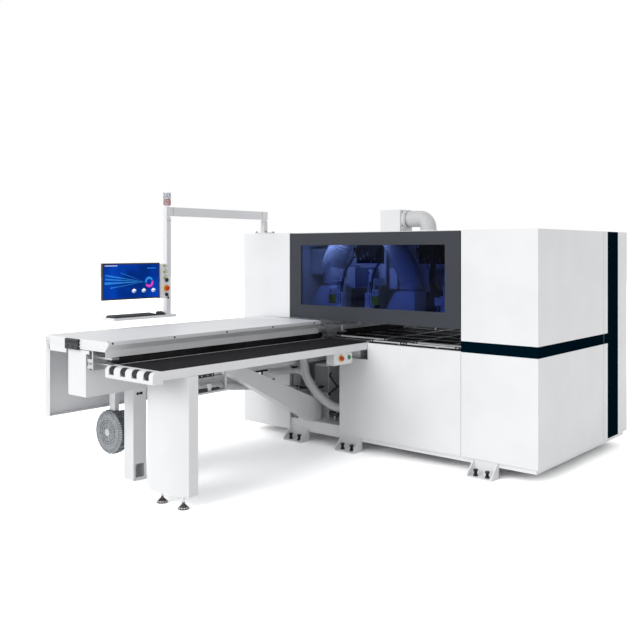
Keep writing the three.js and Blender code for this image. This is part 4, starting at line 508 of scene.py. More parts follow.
# The feed rail is steel, but gets the dark bed finish as painted shade under the hood.
dress(BED_AND_RAIL_SHADE, None, "worktable", "feed_rail")
dress(WHITE, None, "base_frame")
dress(GREY, None, "cross_beam_upper", "cross_beam_lower")
dress(CAST, None, "blower_housing", "blower_fan", "lower_head")
dress(BLACK, None, "keyboard", "button_3", "console_switch")
dress(LENS_CLEAR, None, "signal_light")
dress(CAPWHITE, None, "button_1", "button_2")
dress(ORANGE, None, "console_stop")
dress(RED, None, "table_stop")
dress(GREEN, None, "table_start")
for number in (1, 2):
    dress(BRUSHED, None, f"clamp_{number}")
    dress(RUBBER, None, f"clamp_jaw_{number}")
    dress(WHITE, None, f"head_{number}_carriage")
    dress(DRILL, None, f"head_{number}_block")
    dress(STEEL, None, f"head_{number}_spindle")
for number in range(1, 5):
    dress(RUBBER, None, f"roller_{number}")
print("dressed:", sum(1 for part in frame["nodes"].values() if part.data.materials), "sub-parts")

# %% [markdown]
# Everything that is added is built in mesh code from a few moves. The first ones are a block, a rod
# between two points and an outline turned about a line. Each move adds to one mesh and may paint its
# faces with a second finish, so a bolt and its washer can be one piece. Blender's own operators could
# make the same shapes, but they work on whatever is selected, and plain functions say more clearly what
# is built where.

# %% Blocks, rods and turned shapes
def tint_faces(verts, tint):
    for face in {face for vert in verts for face in vert.link_faces}:
        face.material_index = tint


def add_block(mesh, first, last, tint=0):
    size = last - first
    made = bmesh.ops.create_cube(mesh, size=1.0)["verts"]
    bmesh.ops.scale(mesh, verts=made, vec=size)
    bmesh.ops.translate(mesh, verts=made, vec=first + size / 2)
    tint_faces(made, tint)


def add_blocks(mesh, blocks, tint=0):
    """Blocks given as pairs of opposite corners in millimetres."""
    for first, last in blocks:
        add_block(mesh, at(*first), at(*last), tint)


def add_rod(mesh, first, last, radius, sides=20, tint=0):
    length = (last - first).length
    turn = (last - first).to_track_quat("Z", "Y").to_matrix().to_4x4()
    place = Matrix.Translation(first + (last - first) / 2) @ turn
    made = bmesh.ops.create_cone(
        mesh, cap_ends=True, segments=sides, radius1=radius * MM, radius2=radius * MM, depth=length,
        matrix=place,
    )["verts"]
    tint_faces(made, tint)


def add_posts(mesh, posts, sides=20, tint=0):
    """Upright rods given as (x, y, foot, top, radius) in millimetres."""
    for x, y, foot, top, radius in posts:
        add_rod(mesh, at(x, y, foot), at(x, y, top), radius, sides, tint)


def add_turned(mesh, base, way, outline, sides=32, tint=0):
    """Turns an outline of (radius, height) pairs in millimetres about a line from base along way."""
    turn = way.to_track_quat("Z", "Y").to_matrix()
    rings = []
    for radius, rise in outline:
        if radius == 0:
            rings.append([mesh.verts.new(base + turn @ Vector((0, 0, rise * MM)))])
            continue
        angles = [math.tau * i / sides for i in range(sides)]
        ring = [Vector((radius * math.cos(a), radius * math.sin(a), rise)) * MM for a in angles]
        rings.append([mesh.verts.new(base + turn @ point) for point in ring])
    bridge_rings(mesh, rings, tint)


def bridge_rings(mesh, rings, tint=0):
    """Joins each ring of vertices to the next one. A ring may be a single point, as at a tip."""
    for one, two in zip(rings, rings[1:]):
        count = max(len(one), len(two))
        if count == 1:
            continue
        for i in range(count):
            j = (i + 1) % count
            around = [one[i % len(one)], one[j % len(one)], two[j % len(two)], two[i % len(two)]]
            corners = list(dict.fromkeys(around))
            if len(corners) > 2:
                mesh.faces.new(corners).material_index = tint


print("moves: block, rod and turned outline")

# %% [markdown]
# Hoses and cables are tubes along a smooth path through a few given places: where the hose is clipped,
# where it hangs lowest, where it enters its fitting. A curve object would draw such a path too, but a wound
# hose needs places that are evenly spaced, so the path is worked out here.

# %% A smooth path
SPAN_LEAST = 6
SPAN_TIMES = 3


def smooth_path(points, step):
    """A smooth curve through given points, as places a step apart in metres."""
    line = [points[0] * 2 - points[1], *points, points[-1] * 2 - points[-2]]
    dense = []
    for a, b, c, d in zip(line, line[1:], line[2:], line[3:]):
        share = max(SPAN_LEAST, round((c - b).length / step * SPAN_TIMES))
        square = 2 * a - 5 * b + 4 * c - d
        cube = 3 * b - a - 3 * c + d
        for i in range(share):
            t = i / share
            dense.append(0.5 * (2 * b + (c - a) * t + square * t * t + cube * t**3))
    dense.append(points[-1])
    return even_steps(dense, step)


def even_steps(dense, step):
    """The same line with its places spread evenly along it."""
    run = [0.0]
    for a, b in zip(dense, dense[1:]):
        run.append(run[-1] + (b - a).length)
    count = max(2, round(run[-1] / step))
    even, k = [], 0
    for i in range(count + 1):
        want = run[-1] * i / count
        while k < len(run) - 2 and run[k + 1] < want:
            k += 1
        gap = run[k + 1] - run[k]
        even.append(dense[k].lerp(dense[k + 1], (want - run[k]) / gap if gap else 0))
    return even


def path_length(points):
    return sum((b - a).length for a, b in zip(points, points[1:]))


print("move: smooth path")

# %% [markdown]
# A ring of vertices goes round each place of the path, and each ring is joined to the next. A curve's own
# bevel has one radius all the way, and the ribs of a hose need a radius that changes along the path and
# around it, so the radius may be a formula. A bore is a second, narrower tube inside the first.

# %% A tube on a path
def tube_rings(mesh, path, radius_at, sides):
    """Rings of vertices along a path. radius_at(run, turn) gives the radius in millimetres."""
    rings, run = [], 0.0
    ahead = (path[1] - path[0]).normalized()
    side = ahead.orthogonal().normalized()
    for i, place in enumerate(path):
        now = (path[min(i + 1, len(path) - 1)] - path[max(i - 1, 0)]).normalized()
        side = (side - now * side.dot(now)).normalized()
        other = now.cross(side)
        run += (place - path[i - 1]).length if i else 0
        ring = []
        for k in range(sides):
            turn = k / sides
            angle = math.tau * turn
            out = side * math.cos(angle) + other * math.sin(angle)
            ring.append(mesh.verts.new(place + out * radius_at(run, turn) * MM))
        rings.append(ring)
    return rings


def add_tube(mesh, path, radius, sides, radius_at=None, bore=None):
    rings = tube_rings(mesh, path, radius_at or (lambda run, turn: radius), sides)
    bridge_rings(mesh, rings)
    if bore is None:
        for ring in (rings[0], rings[-1]):
            mesh.faces.new(ring)
        return
    inner = tube_rings(mesh, path, lambda run, turn: bore, sides)
    bridge_rings(mesh, inner)
    for end in (0, -1):
        bridge_rings(mesh, [rings[end], inner[end]])


print("move: tube, with or without a bore")

# %% [markdown]
# A finished mesh becomes a piece when it has a name, its finishes and a body of the machine to ride on.
# The same could be written out for each piece, but then one of them would surely lack its rounded edges
# or its body. One function does it for all and prints what it made.

# %% A piece in its place
EDGE_STEPS = 2


def place_piece(name, mesh, body, materials, edge=0.0, sharp=40, stands_for=()):
    """Turns a finished mesh into a named piece that rides a body, unless the body is None."""
    bmesh.ops.recalc_face_normals(mesh, faces=mesh.faces)
    data = bpy.data.meshes.new(name)
    mesh.to_mesh(data)
    mesh.free()
    for material in materials:
        data.materials.append(material)
    piece = bpy.data.objects.new(name, data)
    bpy.context.scene.collection.objects.link(piece)
    data.shade_smooth()
    data.set_sharp_from_angle(angle=math.radians(sharp))
    if edge:
        fold = piece.modifiers.new("edge", "BEVEL")
        fold.width = edge * MM
        fold.segments = EDGE_STEPS
        fold.limit_method = "ANGLE"
        fold.angle_limit = math.radians(sharp)
        shine = piece.modifiers.new("shine", "WEIGHTED_NORMAL")
        shine.keep_sharp = True
    if body:
        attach(piece, body)
    if stands_for:
        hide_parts(*stands_for)
    print(name, len(data.polygons), "faces")
    return piece


# %% [markdown]
# A vacuum hose is a thin milky tube wound over a spring, so its wall swells and dips once a turn. Rings
# along the tube would do, but a real hose has one long spiral, and the light catches it at a slant. The
# radius here follows both the run along the hose and the turn around it, which makes the swelling a true
# spiral.

# %% Ribbed hoses
RIB_STEPS = 5
HOSE_WALL = 8
HOSE_RIB = 4.5


def ribbed(name, points, body, node, radius, bore, rib, pitch, cuff, sides=28):
    """A wound hose in place of the frame's plain one. Its two cuffs are smooth."""
    step = pitch * MM / RIB_STEPS
    path = smooth_path(points, step)
    total = path_length(path)

    def swell(run, turn):
        ends = min(run, total - run) / MM
        if ends < cuff:
            return radius
        wave = math.cos(math.tau * (run / MM / pitch + turn))
        return radius - rib * 0.5 + rib * 0.5 * wave

    mesh = bmesh.new()
    add_tube(mesh, path, radius, sides, radius_at=swell, bore=bore)
    piece = place_piece(name, mesh, body, [MILKY], sharp=60, stands_for=[node])
    print(name, "length", round(total, 3), "m")
    return piece, path


AIR_ROUTE = [
    at(-2604, -1703, 500.3), at(-2604, -1703, 570), at(-2560, -1610, 640), at(-2420, -1470, 655),
    at(-2270, -1270, 660), at(-2335, -818, 600), at(-2380, -400, 540), at(-2434.5, 60, 440),
    at(-2434.5, 170, 420), at(-2434.5, 249.7, 420),
]
DUST_ROUTE = [
    at(-2300.3, -52, 645), at(-2362.3, -52, 645), at(-2500, -75, 628), at(-2620, -110, 618),
    at(-2690, -140, 690), at(-2685, -160, 790), at(-2622, -170, 850), at(-2559.3, -170, 850),
]


def free_hose(node, points, radius, pitch, cuff):
    bore = radius - HOSE_WALL
    name = node + "_wound"
    piece, path = ribbed(name, points, "machine", node, radius, bore, HOSE_RIB, pitch, cuff)
    return path


air_path = free_hose("air_hose", AIR_ROUTE, radius=34, pitch=18, cuff=30)
free_hose("dust_hose", DUST_ROUTE, radius=29, pitch=17, cuff=20)

# %% [markdown]
# The two fat hoses over the drilling heads stay fixed at the roof while the heads travel below them, so
# they can't ride on one body. They could be given bones; here they ride on none and stay where they are
# built. The roof hose is short and still: a straight run, a quarter turn and a straight run again.

# %% Head hoses and roof hose
HEAD_HOSE_Y = 301.5
HEAD_HOSE_TOP = 1852
HEAD_BENDS = [
    (-2170, 1441.3, (0, 0, -0.06, 0.04, 0.14, 0.14)),
    (-1318, 1411.3, (0, 0, -0.1, -0.26, -0.36, -0.36)),
]
RISE_SHARES = (0, 0.12, 0.4, 0.68, 0.88, 1)
BEND_WIDTH = 500
ROOF_HOSE_Y = 700
ROOF_HOSE_Z = 2032
ROOF_BEND = 90
ROOF_BEND_X = -1490
ROOF_BEND_STEPS = 5
ROOF_HOSE_STARTS_X = (-1624.7, -1550)
ROOF_HOSE_FAR = -1400
ROOF_HOSE_FOOT = 1924.3


def head_hoses():
    for number, (x, base, shares) in enumerate(HEAD_BENDS, 1):
        rise = HEAD_HOSE_TOP - base
        points = [
            at(x + BEND_WIDTH * across, HEAD_HOSE_Y, base + rise * up)
            for across, up in zip(shares, RISE_SHARES)
        ]
        node = f"head_{number}_hose"
        piece, _ = ribbed(
            node + "_wound", points, None, node, radius=98.5, bore=88, rib=8, pitch=16, cuff=6, sides=48
        )
        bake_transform(piece)


def roof_hose():
    middle = at(ROOF_BEND_X, ROOF_HOSE_Y, ROOF_HOSE_Z - ROOF_BEND)
    points = [at(x, ROOF_HOSE_Y, ROOF_HOSE_Z) for x in ROOF_HOSE_STARTS_X]
    for step in range(ROOF_BEND_STEPS + 1):
        angle = math.radians(90 * step / ROOF_BEND_STEPS)
        points.append(middle + Vector((math.sin(angle), 0, math.cos(angle))) * ROOF_BEND * MM)
    points.append(at(ROOF_HOSE_FAR, ROOF_HOSE_Y, ROOF_HOSE_FOOT))
    ribbed(
        "roof_hose_wound", points, "machine", "roof_hose", radius=75, bore=67, rib=4, pitch=14, cuff=12,
        sides=40,
    )


head_hoses()
roof_hose()
print("hoses from", HEAD_HOSE_TOP, "mm down to", [base for _, base, _ in HEAD_BENDS])

# %% [markdown]
# The hose at the back of the bay is a smooth grey one that swings down behind the lower panel, with a
# short moulded branch at its side. The branch could be part of the same mesh, but a cord's surface has to
# follow its own path all the way, so the branch is a piece by itself.

# %% Smooth bend hose
BEND_ROUTE = [
    at(-2245, -52, 799.7), at(-2245, -52, 720), at(-2225, -40, 600), at(-2150, 20, 450), at(-2020, 82, 345),
    at(-1900, 95, 335), at(-1770.3, 95, 335),
]
BEND_STEP = 12 * MM
BEND_RADIUS = 40
BEND_BORE = 34
BRANCH_ENDS = (at(-2300, -52, 645), at(-2240, -52, 645))
BRANCH_RADIUS = 32


def bend_hose():
    mesh = bmesh.new()
    path = smooth_path(BEND_ROUTE, BEND_STEP)
    add_tube(mesh, path, BEND_RADIUS, sides=28, bore=BEND_BORE)
    piece = place_piece(
        "bend_hose_smooth", mesh, "machine", [SMOOTH_HOSE], sharp=60, stands_for=["bend_hose"],
    )
    mesh = bmesh.new()
    add_rod(mesh, *BRANCH_ENDS, BRANCH_RADIUS, sides=24)
    place_piece("bend_hose_branch", mesh, "machine", [SMOOTH_HOSE], sharp=60)


bend_hose()

# %% [markdown]
# Screws tell the eye how large a sheet is. A domed screw is a turned outline with a socket sunk in its
# head, and a hexagon bolt is the same move with six sides on a round washer. Their outlines are written
# as shares of the head's radius. Screws from a library would be quicker to place, but with two short
# functions every screw on this machine is alike. A cable is a thin tube along a smooth path.

# %% Screws, bolts and cables
RIGHT = Vector((1, 0, 0))
FRONT = Vector((0, -1, 0))
UP = Vector((0, 0, 1))
DOME_SHARES = [(0, 0), (1, 0), (1, 0.2), (0.8, 0.5), (0.5, 0.62), (0.42, 0.62), (0.4, 0.25), (0, 0.25)]
WASHER_SHARES = [(0, 0), (1.35, 0), (1.35, 0.2), (0, 0.2)]
HEX_SHARES = [(0, 0.2), (1, 0.2), (1, 0.92), (0.85, 1.1), (0, 1.1)]
CABLE_STEP_SHARE = 1.6


def add_turned_shares(mesh, base, way, shares, size, sides, tint=0):
    add_turned(mesh, base, way, [(size * across, size * rise) for across, rise in shares], sides, tint)


def add_dome_screw(mesh, base, way, radius, tint=0):
    add_turned_shares(mesh, base, way, DOME_SHARES, radius, 16, tint)


def add_hex_bolt(mesh, base, way, radius):
    add_turned_shares(mesh, base, way, WASHER_SHARES, radius, 20)
    add_turned_shares(mesh, base, way, HEX_SHARES, radius, 6)


def screws(name, places, way, radius, add=add_dome_screw):
    """One piece that holds a set of alike screws or bolts."""
    mesh = bmesh.new()
    for place in places:
        add(mesh, place, way, radius)
    place_piece(name, mesh, "machine", [BOLT], sharp=30)


def add_cable(mesh, points, radius):
    add_tube(mesh, smooth_path(points, radius * MM * CABLE_STEP_SHARE), radius, sides=10)


print("screws: a dome of", len(DOME_SHARES), "points and a hexagon of", len(HEX_SHARES))

# %% [markdown]
# Behind the tinted pane the photograph shows light housings against a dark tangle. The tangle is what
# makes it read as a working machine: an energy chain, air lines and sensor leads that come down from the
# roof to each head. Leads drawn at random would fall through the housings, so each one starts on the
# chain, hangs by a formula and ends on the part that it feeds. All of them ride on their head, as real
# ones are clipped to it.

# %% Energy chain and hanging leads
HEAD_LEADS = [("upper_head_1", -1982, -1700), ("upper_head_2", -1292, -1020)]
LEAD_TOP = 1796
LEADS = 11
LEAD_SAG = 120
LEAD_SWAY = 34
LEAD_SWAY_TURN = 2.4
LEAD_SAG_SHARES = (0, 0.5, 1, 0.72, 0.2)
LEAD_DEPTH = 318
LEAD_DEPTH_STEP = 9
LEAD_AWAY = (20, 0, -12, 0, 14)
LEAD_RADIUS = 4
CHAIN_LINKS = 12
CHAIN_DIP = 46
CHAIN_NEAR = 352
CHAIN_FAR = 404
CHAIN_LOW = LEAD_TOP - 60
CHAIN_HIGH = LEAD_TOP - 24
LINK_GAP = 0.18


def add_energy_chain(mesh, first, last):
    """A row of chain links across the head, which dips in its middle."""
    pitch = (last - first) / CHAIN_LINKS
    for k in range(CHAIN_LINKS):
        x = first + k * pitch
        dip = CHAIN_DIP * math.sin(math.pi * (k + 0.5) / CHAIN_LINKS)
        end = at(x + pitch * (1 - LINK_GAP), CHAIN_FAR, CHAIN_HIGH - dip)
        add_block(mesh, at(x, CHAIN_NEAR, CHAIN_LOW - dip), end)


def add_lead(mesh, k, first, last):
    """One hanging lead. Its sag, depth and end follow from its number, so that no two are alike."""
    start = first + (last - first) * (k + 0.5) / LEADS
    end = first + (last - first) * ((k * 5 + 2) % LEADS + 0.5) / LEADS
    sag = LEAD_SAG + LEAD_SWAY * math.sin(LEAD_SWAY_TURN * k)
    depth = LEAD_DEPTH + LEAD_DEPTH_STEP * (k % 7)
    across = (start, start + 6, (start + end) / 2, end, end)
    points = [
        at(x, depth + away, LEAD_TOP - sag * share)
        for x, away, share in zip(across, LEAD_AWAY, LEAD_SAG_SHARES)
    ]
    add_cable(mesh, points, LEAD_RADIUS + k % 3)


print("leads for each head:", LEADS)

# %% [markdown]
# The leads run past small square connectors, and a dark sheet stands behind them: painted shade for the
# depth of the chamber behind the tangle. A row of connectors at one height would look drawn with a ruler,
# so their heights step through four levels in turn, as they do where a fitter has plugged them in one
# after another.

# %% Leads and connectors on both heads
SHADE_SHEET_MARGIN = 14
SHADE_SHEET_NEAR = 401
SHADE_SHEET_FAR = 411.6
SHADE_SHEET_LOW = 1626
SHADE_SHEET_HIGH = 1799
PLUGS = 7
PLUG_START_SHARE = 0.6
PLUG_TOP = LEAD_TOP - 84
PLUG_STEP = 22
PLUG_NEAR = 296
PLUG_WIDE = 10
PLUG_TALL = 16
PLUG_STEM = 3.5


def add_plug(mesh, x, z):
    """A small square connector with a round stem on it."""
    add_block(mesh, at(x, PLUG_NEAR, z - PLUG_TALL), at(x + PLUG_WIDE, PLUG_NEAR + PLUG_WIDE, z))
    stem = at(x + PLUG_WIDE / 2, PLUG_NEAR + PLUG_WIDE / 2, z)
    add_rod(mesh, stem, stem + UP * PLUG_WIDE * MM, PLUG_STEM, sides=12, tint=1)


def head_leads(number, body, first, last):
    mesh = bmesh.new()
    # A dark sheet behind the leads: painted shade for the deep chamber behind them.
    corner = at(last + SHADE_SHEET_MARGIN, SHADE_SHEET_FAR, SHADE_SHEET_HIGH)
    add_block(mesh, at(first - SHADE_SHEET_MARGIN, SHADE_SHEET_NEAR, SHADE_SHEET_LOW), corner)
    add_energy_chain(mesh, first, last)
    for k in range(LEADS):
        add_lead(mesh, k, first, last)
    place_piece(f"head_{number}_leads", mesh, body, [RUBBER], sharp=50)
    mesh = bmesh.new()
    for k in range(PLUGS):
        x = first + (last - first) * (k + PLUG_START_SHARE) / PLUGS
        add_plug(mesh, x, PLUG_TOP - PLUG_STEP * ((k * 3) % 4))
    place_piece(f"head_{number}_connectors", mesh, body, [CAST, STEEL], edge=0.6)


for number, places in enumerate(HEAD_LEADS, 1):
    head_leads(number, *places)

# %% [markdown]
# Each push pad has a guide block with rows of fixing holes. The block is the frame's. The holes could be
# cut into it with a boolean, but the frame stays whole, so each hole is a small dark disc with a stepped
# rim, laid on the block's face, and the long slot beside them is a dark strip. Their dark is painted shade
# for the depth of the holes and the slot.

# %% Pad holes
PADS = [("upper_head_1", -2040), ("upper_head_1", -1710), ("upper_head_2", -928)]
PAD_FRONT = 196
PAD_LOW = 1236
PAD_TOP = 1364
PAD_ROD_TOP = 1460
PAD_MARGIN = 14
HOLE_COLUMNS = (-20, -2)
HOLE_ROWS = 4
HOLE_PITCH = 29
HOLE_LOW = PAD_LOW + 20
HOLE_OUTLINE = [(0, 0), (4.5, 0), (4.5, 0.8), (3.2, 1.2), (0, 1.2)]
SLIT = (14, 20)
SLIT_PROUD = 1
SEATED = 0.2


def pad_holes(number, body, x):
    # Dark discs and a dark strip: painted shade in place of real holes and a real slot.
    mesh = bmesh.new()
    for column in HOLE_COLUMNS:
        for row in range(HOLE_ROWS):
            base = at(x + column, PAD_FRONT - SEATED, HOLE_LOW + row * HOLE_PITCH)
            add_turned(mesh, base, FRONT, HOLE_OUTLINE, sides=14)
    left, right = SLIT
    low_end = at(x + left, PAD_FRONT - SLIT_PROUD, PAD_LOW + PAD_MARGIN)
    add_block(mesh, low_end, at(x + right, PAD_FRONT - SEATED, PAD_TOP - PAD_MARGIN))
    place_piece(f"pad_holes_{number}", mesh, body, [BOLT], sharp=30)


print("holes in each pad:", len(HOLE_COLUMNS) * HOLE_ROWS)

# %% [markdown]
# An air cylinder over each block pushes its pad down. It has a steel cap plate, a neck and two ports
# where the air comes in. It could be turned as a round one, but compact cylinders are extruded with
# square sides, and a block with rounded edges is just that.

# %% Pad cylinders
CYLINDER_HALF = 20
CYLINDER_NEAR = 234.5
CYLINDER_FAR = 262
CYLINDER_FOOT = PAD_TOP + 0.5
CYLINDER_TOP = 1572
CYLINDER_MIDDLE = 248
CYLINDER_NECK = 18
CYLINDER_NECK_RADIUS = 8
CAP_PLATE = ((-25, 206, PAD_ROD_TOP - 10), (23, 234, PAD_ROD_TOP + 2))
PORT_LEVELS = (1400, 1540)
PORT_NEAR = 222
PORT_SIDE = 8
PORT_RADIUS = 5


def pad_cylinder(number, body, x):
    mesh = bmesh.new()
    low_end = at(x - CYLINDER_HALF, CYLINDER_NEAR, CYLINDER_FOOT)
    add_block(mesh, low_end, at(x + CYLINDER_HALF, CYLINDER_FAR, CYLINDER_TOP))
    first, last = ((x + across, depth, rise) for across, depth, rise in CAP_PLATE)
    add_block(mesh, at(*first), at(*last), tint=1)
    neck = (x, CYLINDER_MIDDLE, CYLINDER_TOP, CYLINDER_TOP + CYLINDER_NECK, CYLINDER_NECK_RADIUS)
    add_posts(mesh, [neck], sides=16, tint=1)
    for level in PORT_LEVELS:
        port = at(x - PORT_SIDE, PORT_NEAR, level)
        add_rod(mesh, port, at(x - PORT_SIDE, CYLINDER_NEAR, level), PORT_RADIUS, sides=12, tint=2)
    place_piece(f"pad_cylinder_{number}", mesh, body, [LIGHT, STEEL, BLACK], edge=1.2)


print("cylinder:", CYLINDER_TOP - CYLINDER_FOOT, "mm tall")

# %% [markdown]
# A thick lead and a thin one run down the right side of each pad, side by side. The same route with a
# small step to the side serves for both. A random wobble could tell them apart, but on a real machine two
# lines that are tied together look alike.

# %% Pad leads
PAD_LEAD_ROUTE = [
    (92, 312, 1690), (66, 290, 1632), (38, 250, 1556), (31, 226, 1470), (30, 212, 1400), (26, 212, PAD_TOP),
]
PAD_LEAD_RADIUS = 6
THIN_LEAD_RADIUS = 3.5
THIN_LEAD_AWAY = Vector((-13, -6, 0)) * MM


def pad_lead(number, body, x):
    mesh = bmesh.new()
    points = [at(x + across, depth, rise) for across, depth, rise in PAD_LEAD_ROUTE]
    add_cable(mesh, points, PAD_LEAD_RADIUS)
    add_cable(mesh, [point + THIN_LEAD_AWAY for point in points], THIN_LEAD_RADIUS)
    place_piece(f"pad_lead_{number}", mesh, body, [RUBBER], sharp=50)


for number, place in enumerate(PADS, 1):
    pad_holes(number, *place)
    pad_cylinder(number, *place)
    pad_lead(number, *place)

# %% [markdown]
# Between the pads stand the plain housings of the vertical drives, two small valve blocks with yellow-
# green caps, and press ledges that run along under the pads. They are folded boxes on short brackets. A
# real one is bent from sheet, but only its outside shows, so each is a block with rounded folds, and what
# carries it is built with it.

# %% Drive housings, valve blocks and ledges
HOUSINGS = [
    ("upper_head_1", (-2040, 320, 1400), (-1952, 402, 1596), (-2030, 402, 1440), (-1962, 411.7, 1560)),
    ("upper_head_2", (-1560, 320, 1400), (-1478, 401, 1590), (-1556, 401, 1520), (-1290, 411.7, 1560)),
]
LID_RIM = Vector((3, 3, 0)) * MM
LID_TALL = UP * 5 * MM
VALVES = [
    ((-2138, 168, 1262), (-2084, 204.5, 1398), 0.58),
    ((-1678.5, 214, 1262), (-1622, 250, 1398), 0.55),
]
VALVE_KNOB = 7
VALVE_KNOB_LONG = 6 * MM
LEDGES = [("upper_head_1", -2176, -1960), ("upper_head_1", -1800, -1640), ("upper_head_2", -990, -840)]
LEDGE_NEAR = 152
LEDGE_FAR = 195.5


def drive_housing(number, body, first, last, bracket_first, bracket_last):
    mesh = bmesh.new()
    add_blocks(mesh, [(first, last)])
    add_blocks(mesh, [(bracket_first, bracket_last)], tint=1)
    top = at(first[0], first[1], last[2])
    add_block(mesh, top - LID_RIM, at(*last) + LID_RIM + LID_TALL, tint=2)
    place_piece(f"drive_housing_{number}", mesh, body, [LIGHT, GREY, BLACK], edge=2)


def valve_block(number, first, last, split):
    """A block in two colours that change at a share of its height, with a knob on the upper one."""
    mesh = bmesh.new()
    first = at(*first)
    last = at(*last)
    waist = first.z + (last.z - first.z) * split
    add_block(mesh, first, Vector((last.x, last.y, waist)), tint=1)
    add_block(mesh, Vector((first.x, first.y, waist)), last)
    face = Vector(((first.x + last.x) / 2, first.y, waist + (last.z - waist) / 2))
    add_rod(mesh, face + FRONT * VALVE_KNOB_LONG, face, VALVE_KNOB, sides=16, tint=2)
    place_piece(f"valve_block_{number}", mesh, "upper_head_1", [LIGHT, TAG, BLACK], edge=1.5)


def press_ledge(number, body, first, last):
    mesh = bmesh.new()
    add_blocks(mesh, [
        ((first, LEDGE_NEAR, 1224), (last, LEDGE_FAR, 1235)),
        ((first, LEDGE_NEAR, 1214), (last, LEDGE_NEAR + 6, 1226)),
    ])
    place_piece(f"press_ledge_{number}", mesh, body, [WHITE], edge=1.5)


for make, rows in ((drive_housing, HOUSINGS), (valve_block, VALVES), (press_ledge, LEDGES)):
    for number, row in enumerate(rows, 1):
        make(number, *row)

# %% [markdown]
# At the right of the window a thick sleeve of leads comes down to a side unit beside the last pad. A
# sleeve is a braided tube. Its weave could be left to a bump in the finish, but then its edge would stay
# smooth, so its surface has a fine winding, made by the same radius formula as the hose ribs.

# %% Sleeve and side unit
SLEEVE_ROUTE = [
    at(-1050, 240, 1796), at(-1048, 236, 1700), at(-1060, 232, 1600), at(-1072, 230, 1520),
    at(-1050, 228, 1420), at(-1004, 228, 1362),
]
RIGHT_LEAD_ROUTE = [
    at(-1010, 236, 1796), at(-1016, 230, 1690), at(-1034, 226, 1580), at(-1030, 222, 1470),
    at(-988, 222, 1380), at(-984, 226, 1350),
]
LEFT_LEAD_ROUTE = [at(-1104, 250, 1796), at(-1120, 244, 1700), at(-1108, 240, 1610), at(-1082, 234, 1560)]
SLEEVE_STEP = 6 * MM
SLEEVE_RADIUS = 22
WEAVE_DEEP = 0.9
WEAVE_PER_MM = 0.9
WEAVE_STRANDS = 6
UNIT_BOX = [((-1022, 206, 1282), (-959.5, 250, 1350))]
UNIT_TAG = [((-1008, 200, 1440), (-984, 214, 1458))]
UNIT_STEEL_POSTS = [(-1000, 228, 1196, 1282, 14), (-968, 232, 1592, 1612, 14)]
UNIT_FOOT = [(-1000, 228, 1180, 1196, 20)]
UNIT_CAP = [(-1004, 228, 1350, 1366, 23)]


def sleeve():
    def weave(run, turn):
        wave = math.sin(run / MM * WEAVE_PER_MM + math.tau * turn * WEAVE_STRANDS)
        return SLEEVE_RADIUS + WEAVE_DEEP * wave

    mesh = bmesh.new()
    add_tube(mesh, smooth_path(SLEEVE_ROUTE, SLEEVE_STEP), SLEEVE_RADIUS, sides=20, radius_at=weave)
    add_cable(mesh, RIGHT_LEAD_ROUTE, radius=8)
    add_cable(mesh, LEFT_LEAD_ROUTE, radius=6)
    place_piece("lead_sleeve", mesh, "upper_head_2", [RUBBER], sharp=60)


def side_unit():
    mesh = bmesh.new()
    add_blocks(mesh, UNIT_BOX)
    add_blocks(mesh, UNIT_TAG, tint=3)
    add_posts(mesh, UNIT_STEEL_POSTS, tint=1)
    add_posts(mesh, UNIT_FOOT, tint=2)
    add_posts(mesh, UNIT_CAP, sides=24, tint=2)
    place_piece("side_unit", mesh, "upper_head_2", [LIGHT, STEEL, BLACK, TAG], edge=1.2)


sleeve()
side_unit()

# %% [markdown]
# A fat hose is held on its collar by a band of thin steel with a worm screw. The band is a turned ring,
# and dark studs around it stand for the slots that the worm bites in: cut slots would cost many faces and
# look the same from two steps away.

# %% Hose bands
BAND_SLOTS = 36
BAND_DROP = 17.3
BAND_THICK = 2
BAND_ROUND = 1
BAND_SUNK = 1
SLOT_OUT = 1.6
SLOT_WIDE_SHARE = 0.16
SLOT_LONG = 1 * MM
WORM_OUT = 5
WORM_START = -10
WORM_LONG = 22
WORM_WIDE_SHARE = 0.36
ROOF_BAND_X = -1612
DUCT_FACE = -1621
DUCT_SCREW_SIDE = 100
DUCT_SCREW_RISE = 62


def hose_band(name, body, centre, way, radius, width):
    mesh = bmesh.new()
    turn = way.to_track_quat("Z", "Y").to_matrix()
    rim = radius + BAND_THICK
    bore = radius - BAND_SUNK
    outline = [
        (bore, 0), (radius, 0), (rim, BAND_ROUND), (rim, width - BAND_ROUND), (radius, width),
        (bore, width), (bore, 0),
    ]
    add_turned(mesh, centre, way, outline, sides=56)
    for k in range(BAND_SLOTS):
        angle = math.tau * k / BAND_SLOTS
        out = turn @ Vector((math.cos(angle), math.sin(angle), 0))
        place = centre + out * (radius + SLOT_OUT) * MM + way * width * 0.5 * MM
        add_rod(mesh, place, place + out * SLOT_LONG, width * SLOT_WIDE_SHARE, sides=6, tint=1)
    worm = centre + turn @ Vector((radius + WORM_OUT, WORM_START, width / 2)) * MM
    add_rod(mesh, worm, worm + turn @ Vector((0, WORM_LONG, 0)) * MM, width * WORM_WIDE_SHARE, sides=12)
    place_piece(name, mesh, body, [STEEL, BOLT], sharp=35)


for number, (x, base, _) in enumerate(HEAD_BENDS, 1):
    centre = at(x, HEAD_HOSE_Y, base - BAND_DROP)
    hose_band(f"head_band_{number}", f"upper_head_{number}", centre, UP, radius=98.4, width=15)
hose_band("roof_band", "machine", at(ROOF_BAND_X, ROOF_HOSE_Y, ROOF_HOSE_Z), RIGHT, radius=75.6, width=13)
screws("duct_screws", [
    at(DUCT_FACE, ROOF_HOSE_Y + side, ROOF_HOSE_Z + rise)
    for side in (-DUCT_SCREW_SIDE, DUCT_SCREW_SIDE) for rise in (-DUCT_SCREW_RISE, DUCT_SCREW_RISE)
], RIGHT, radius=6)

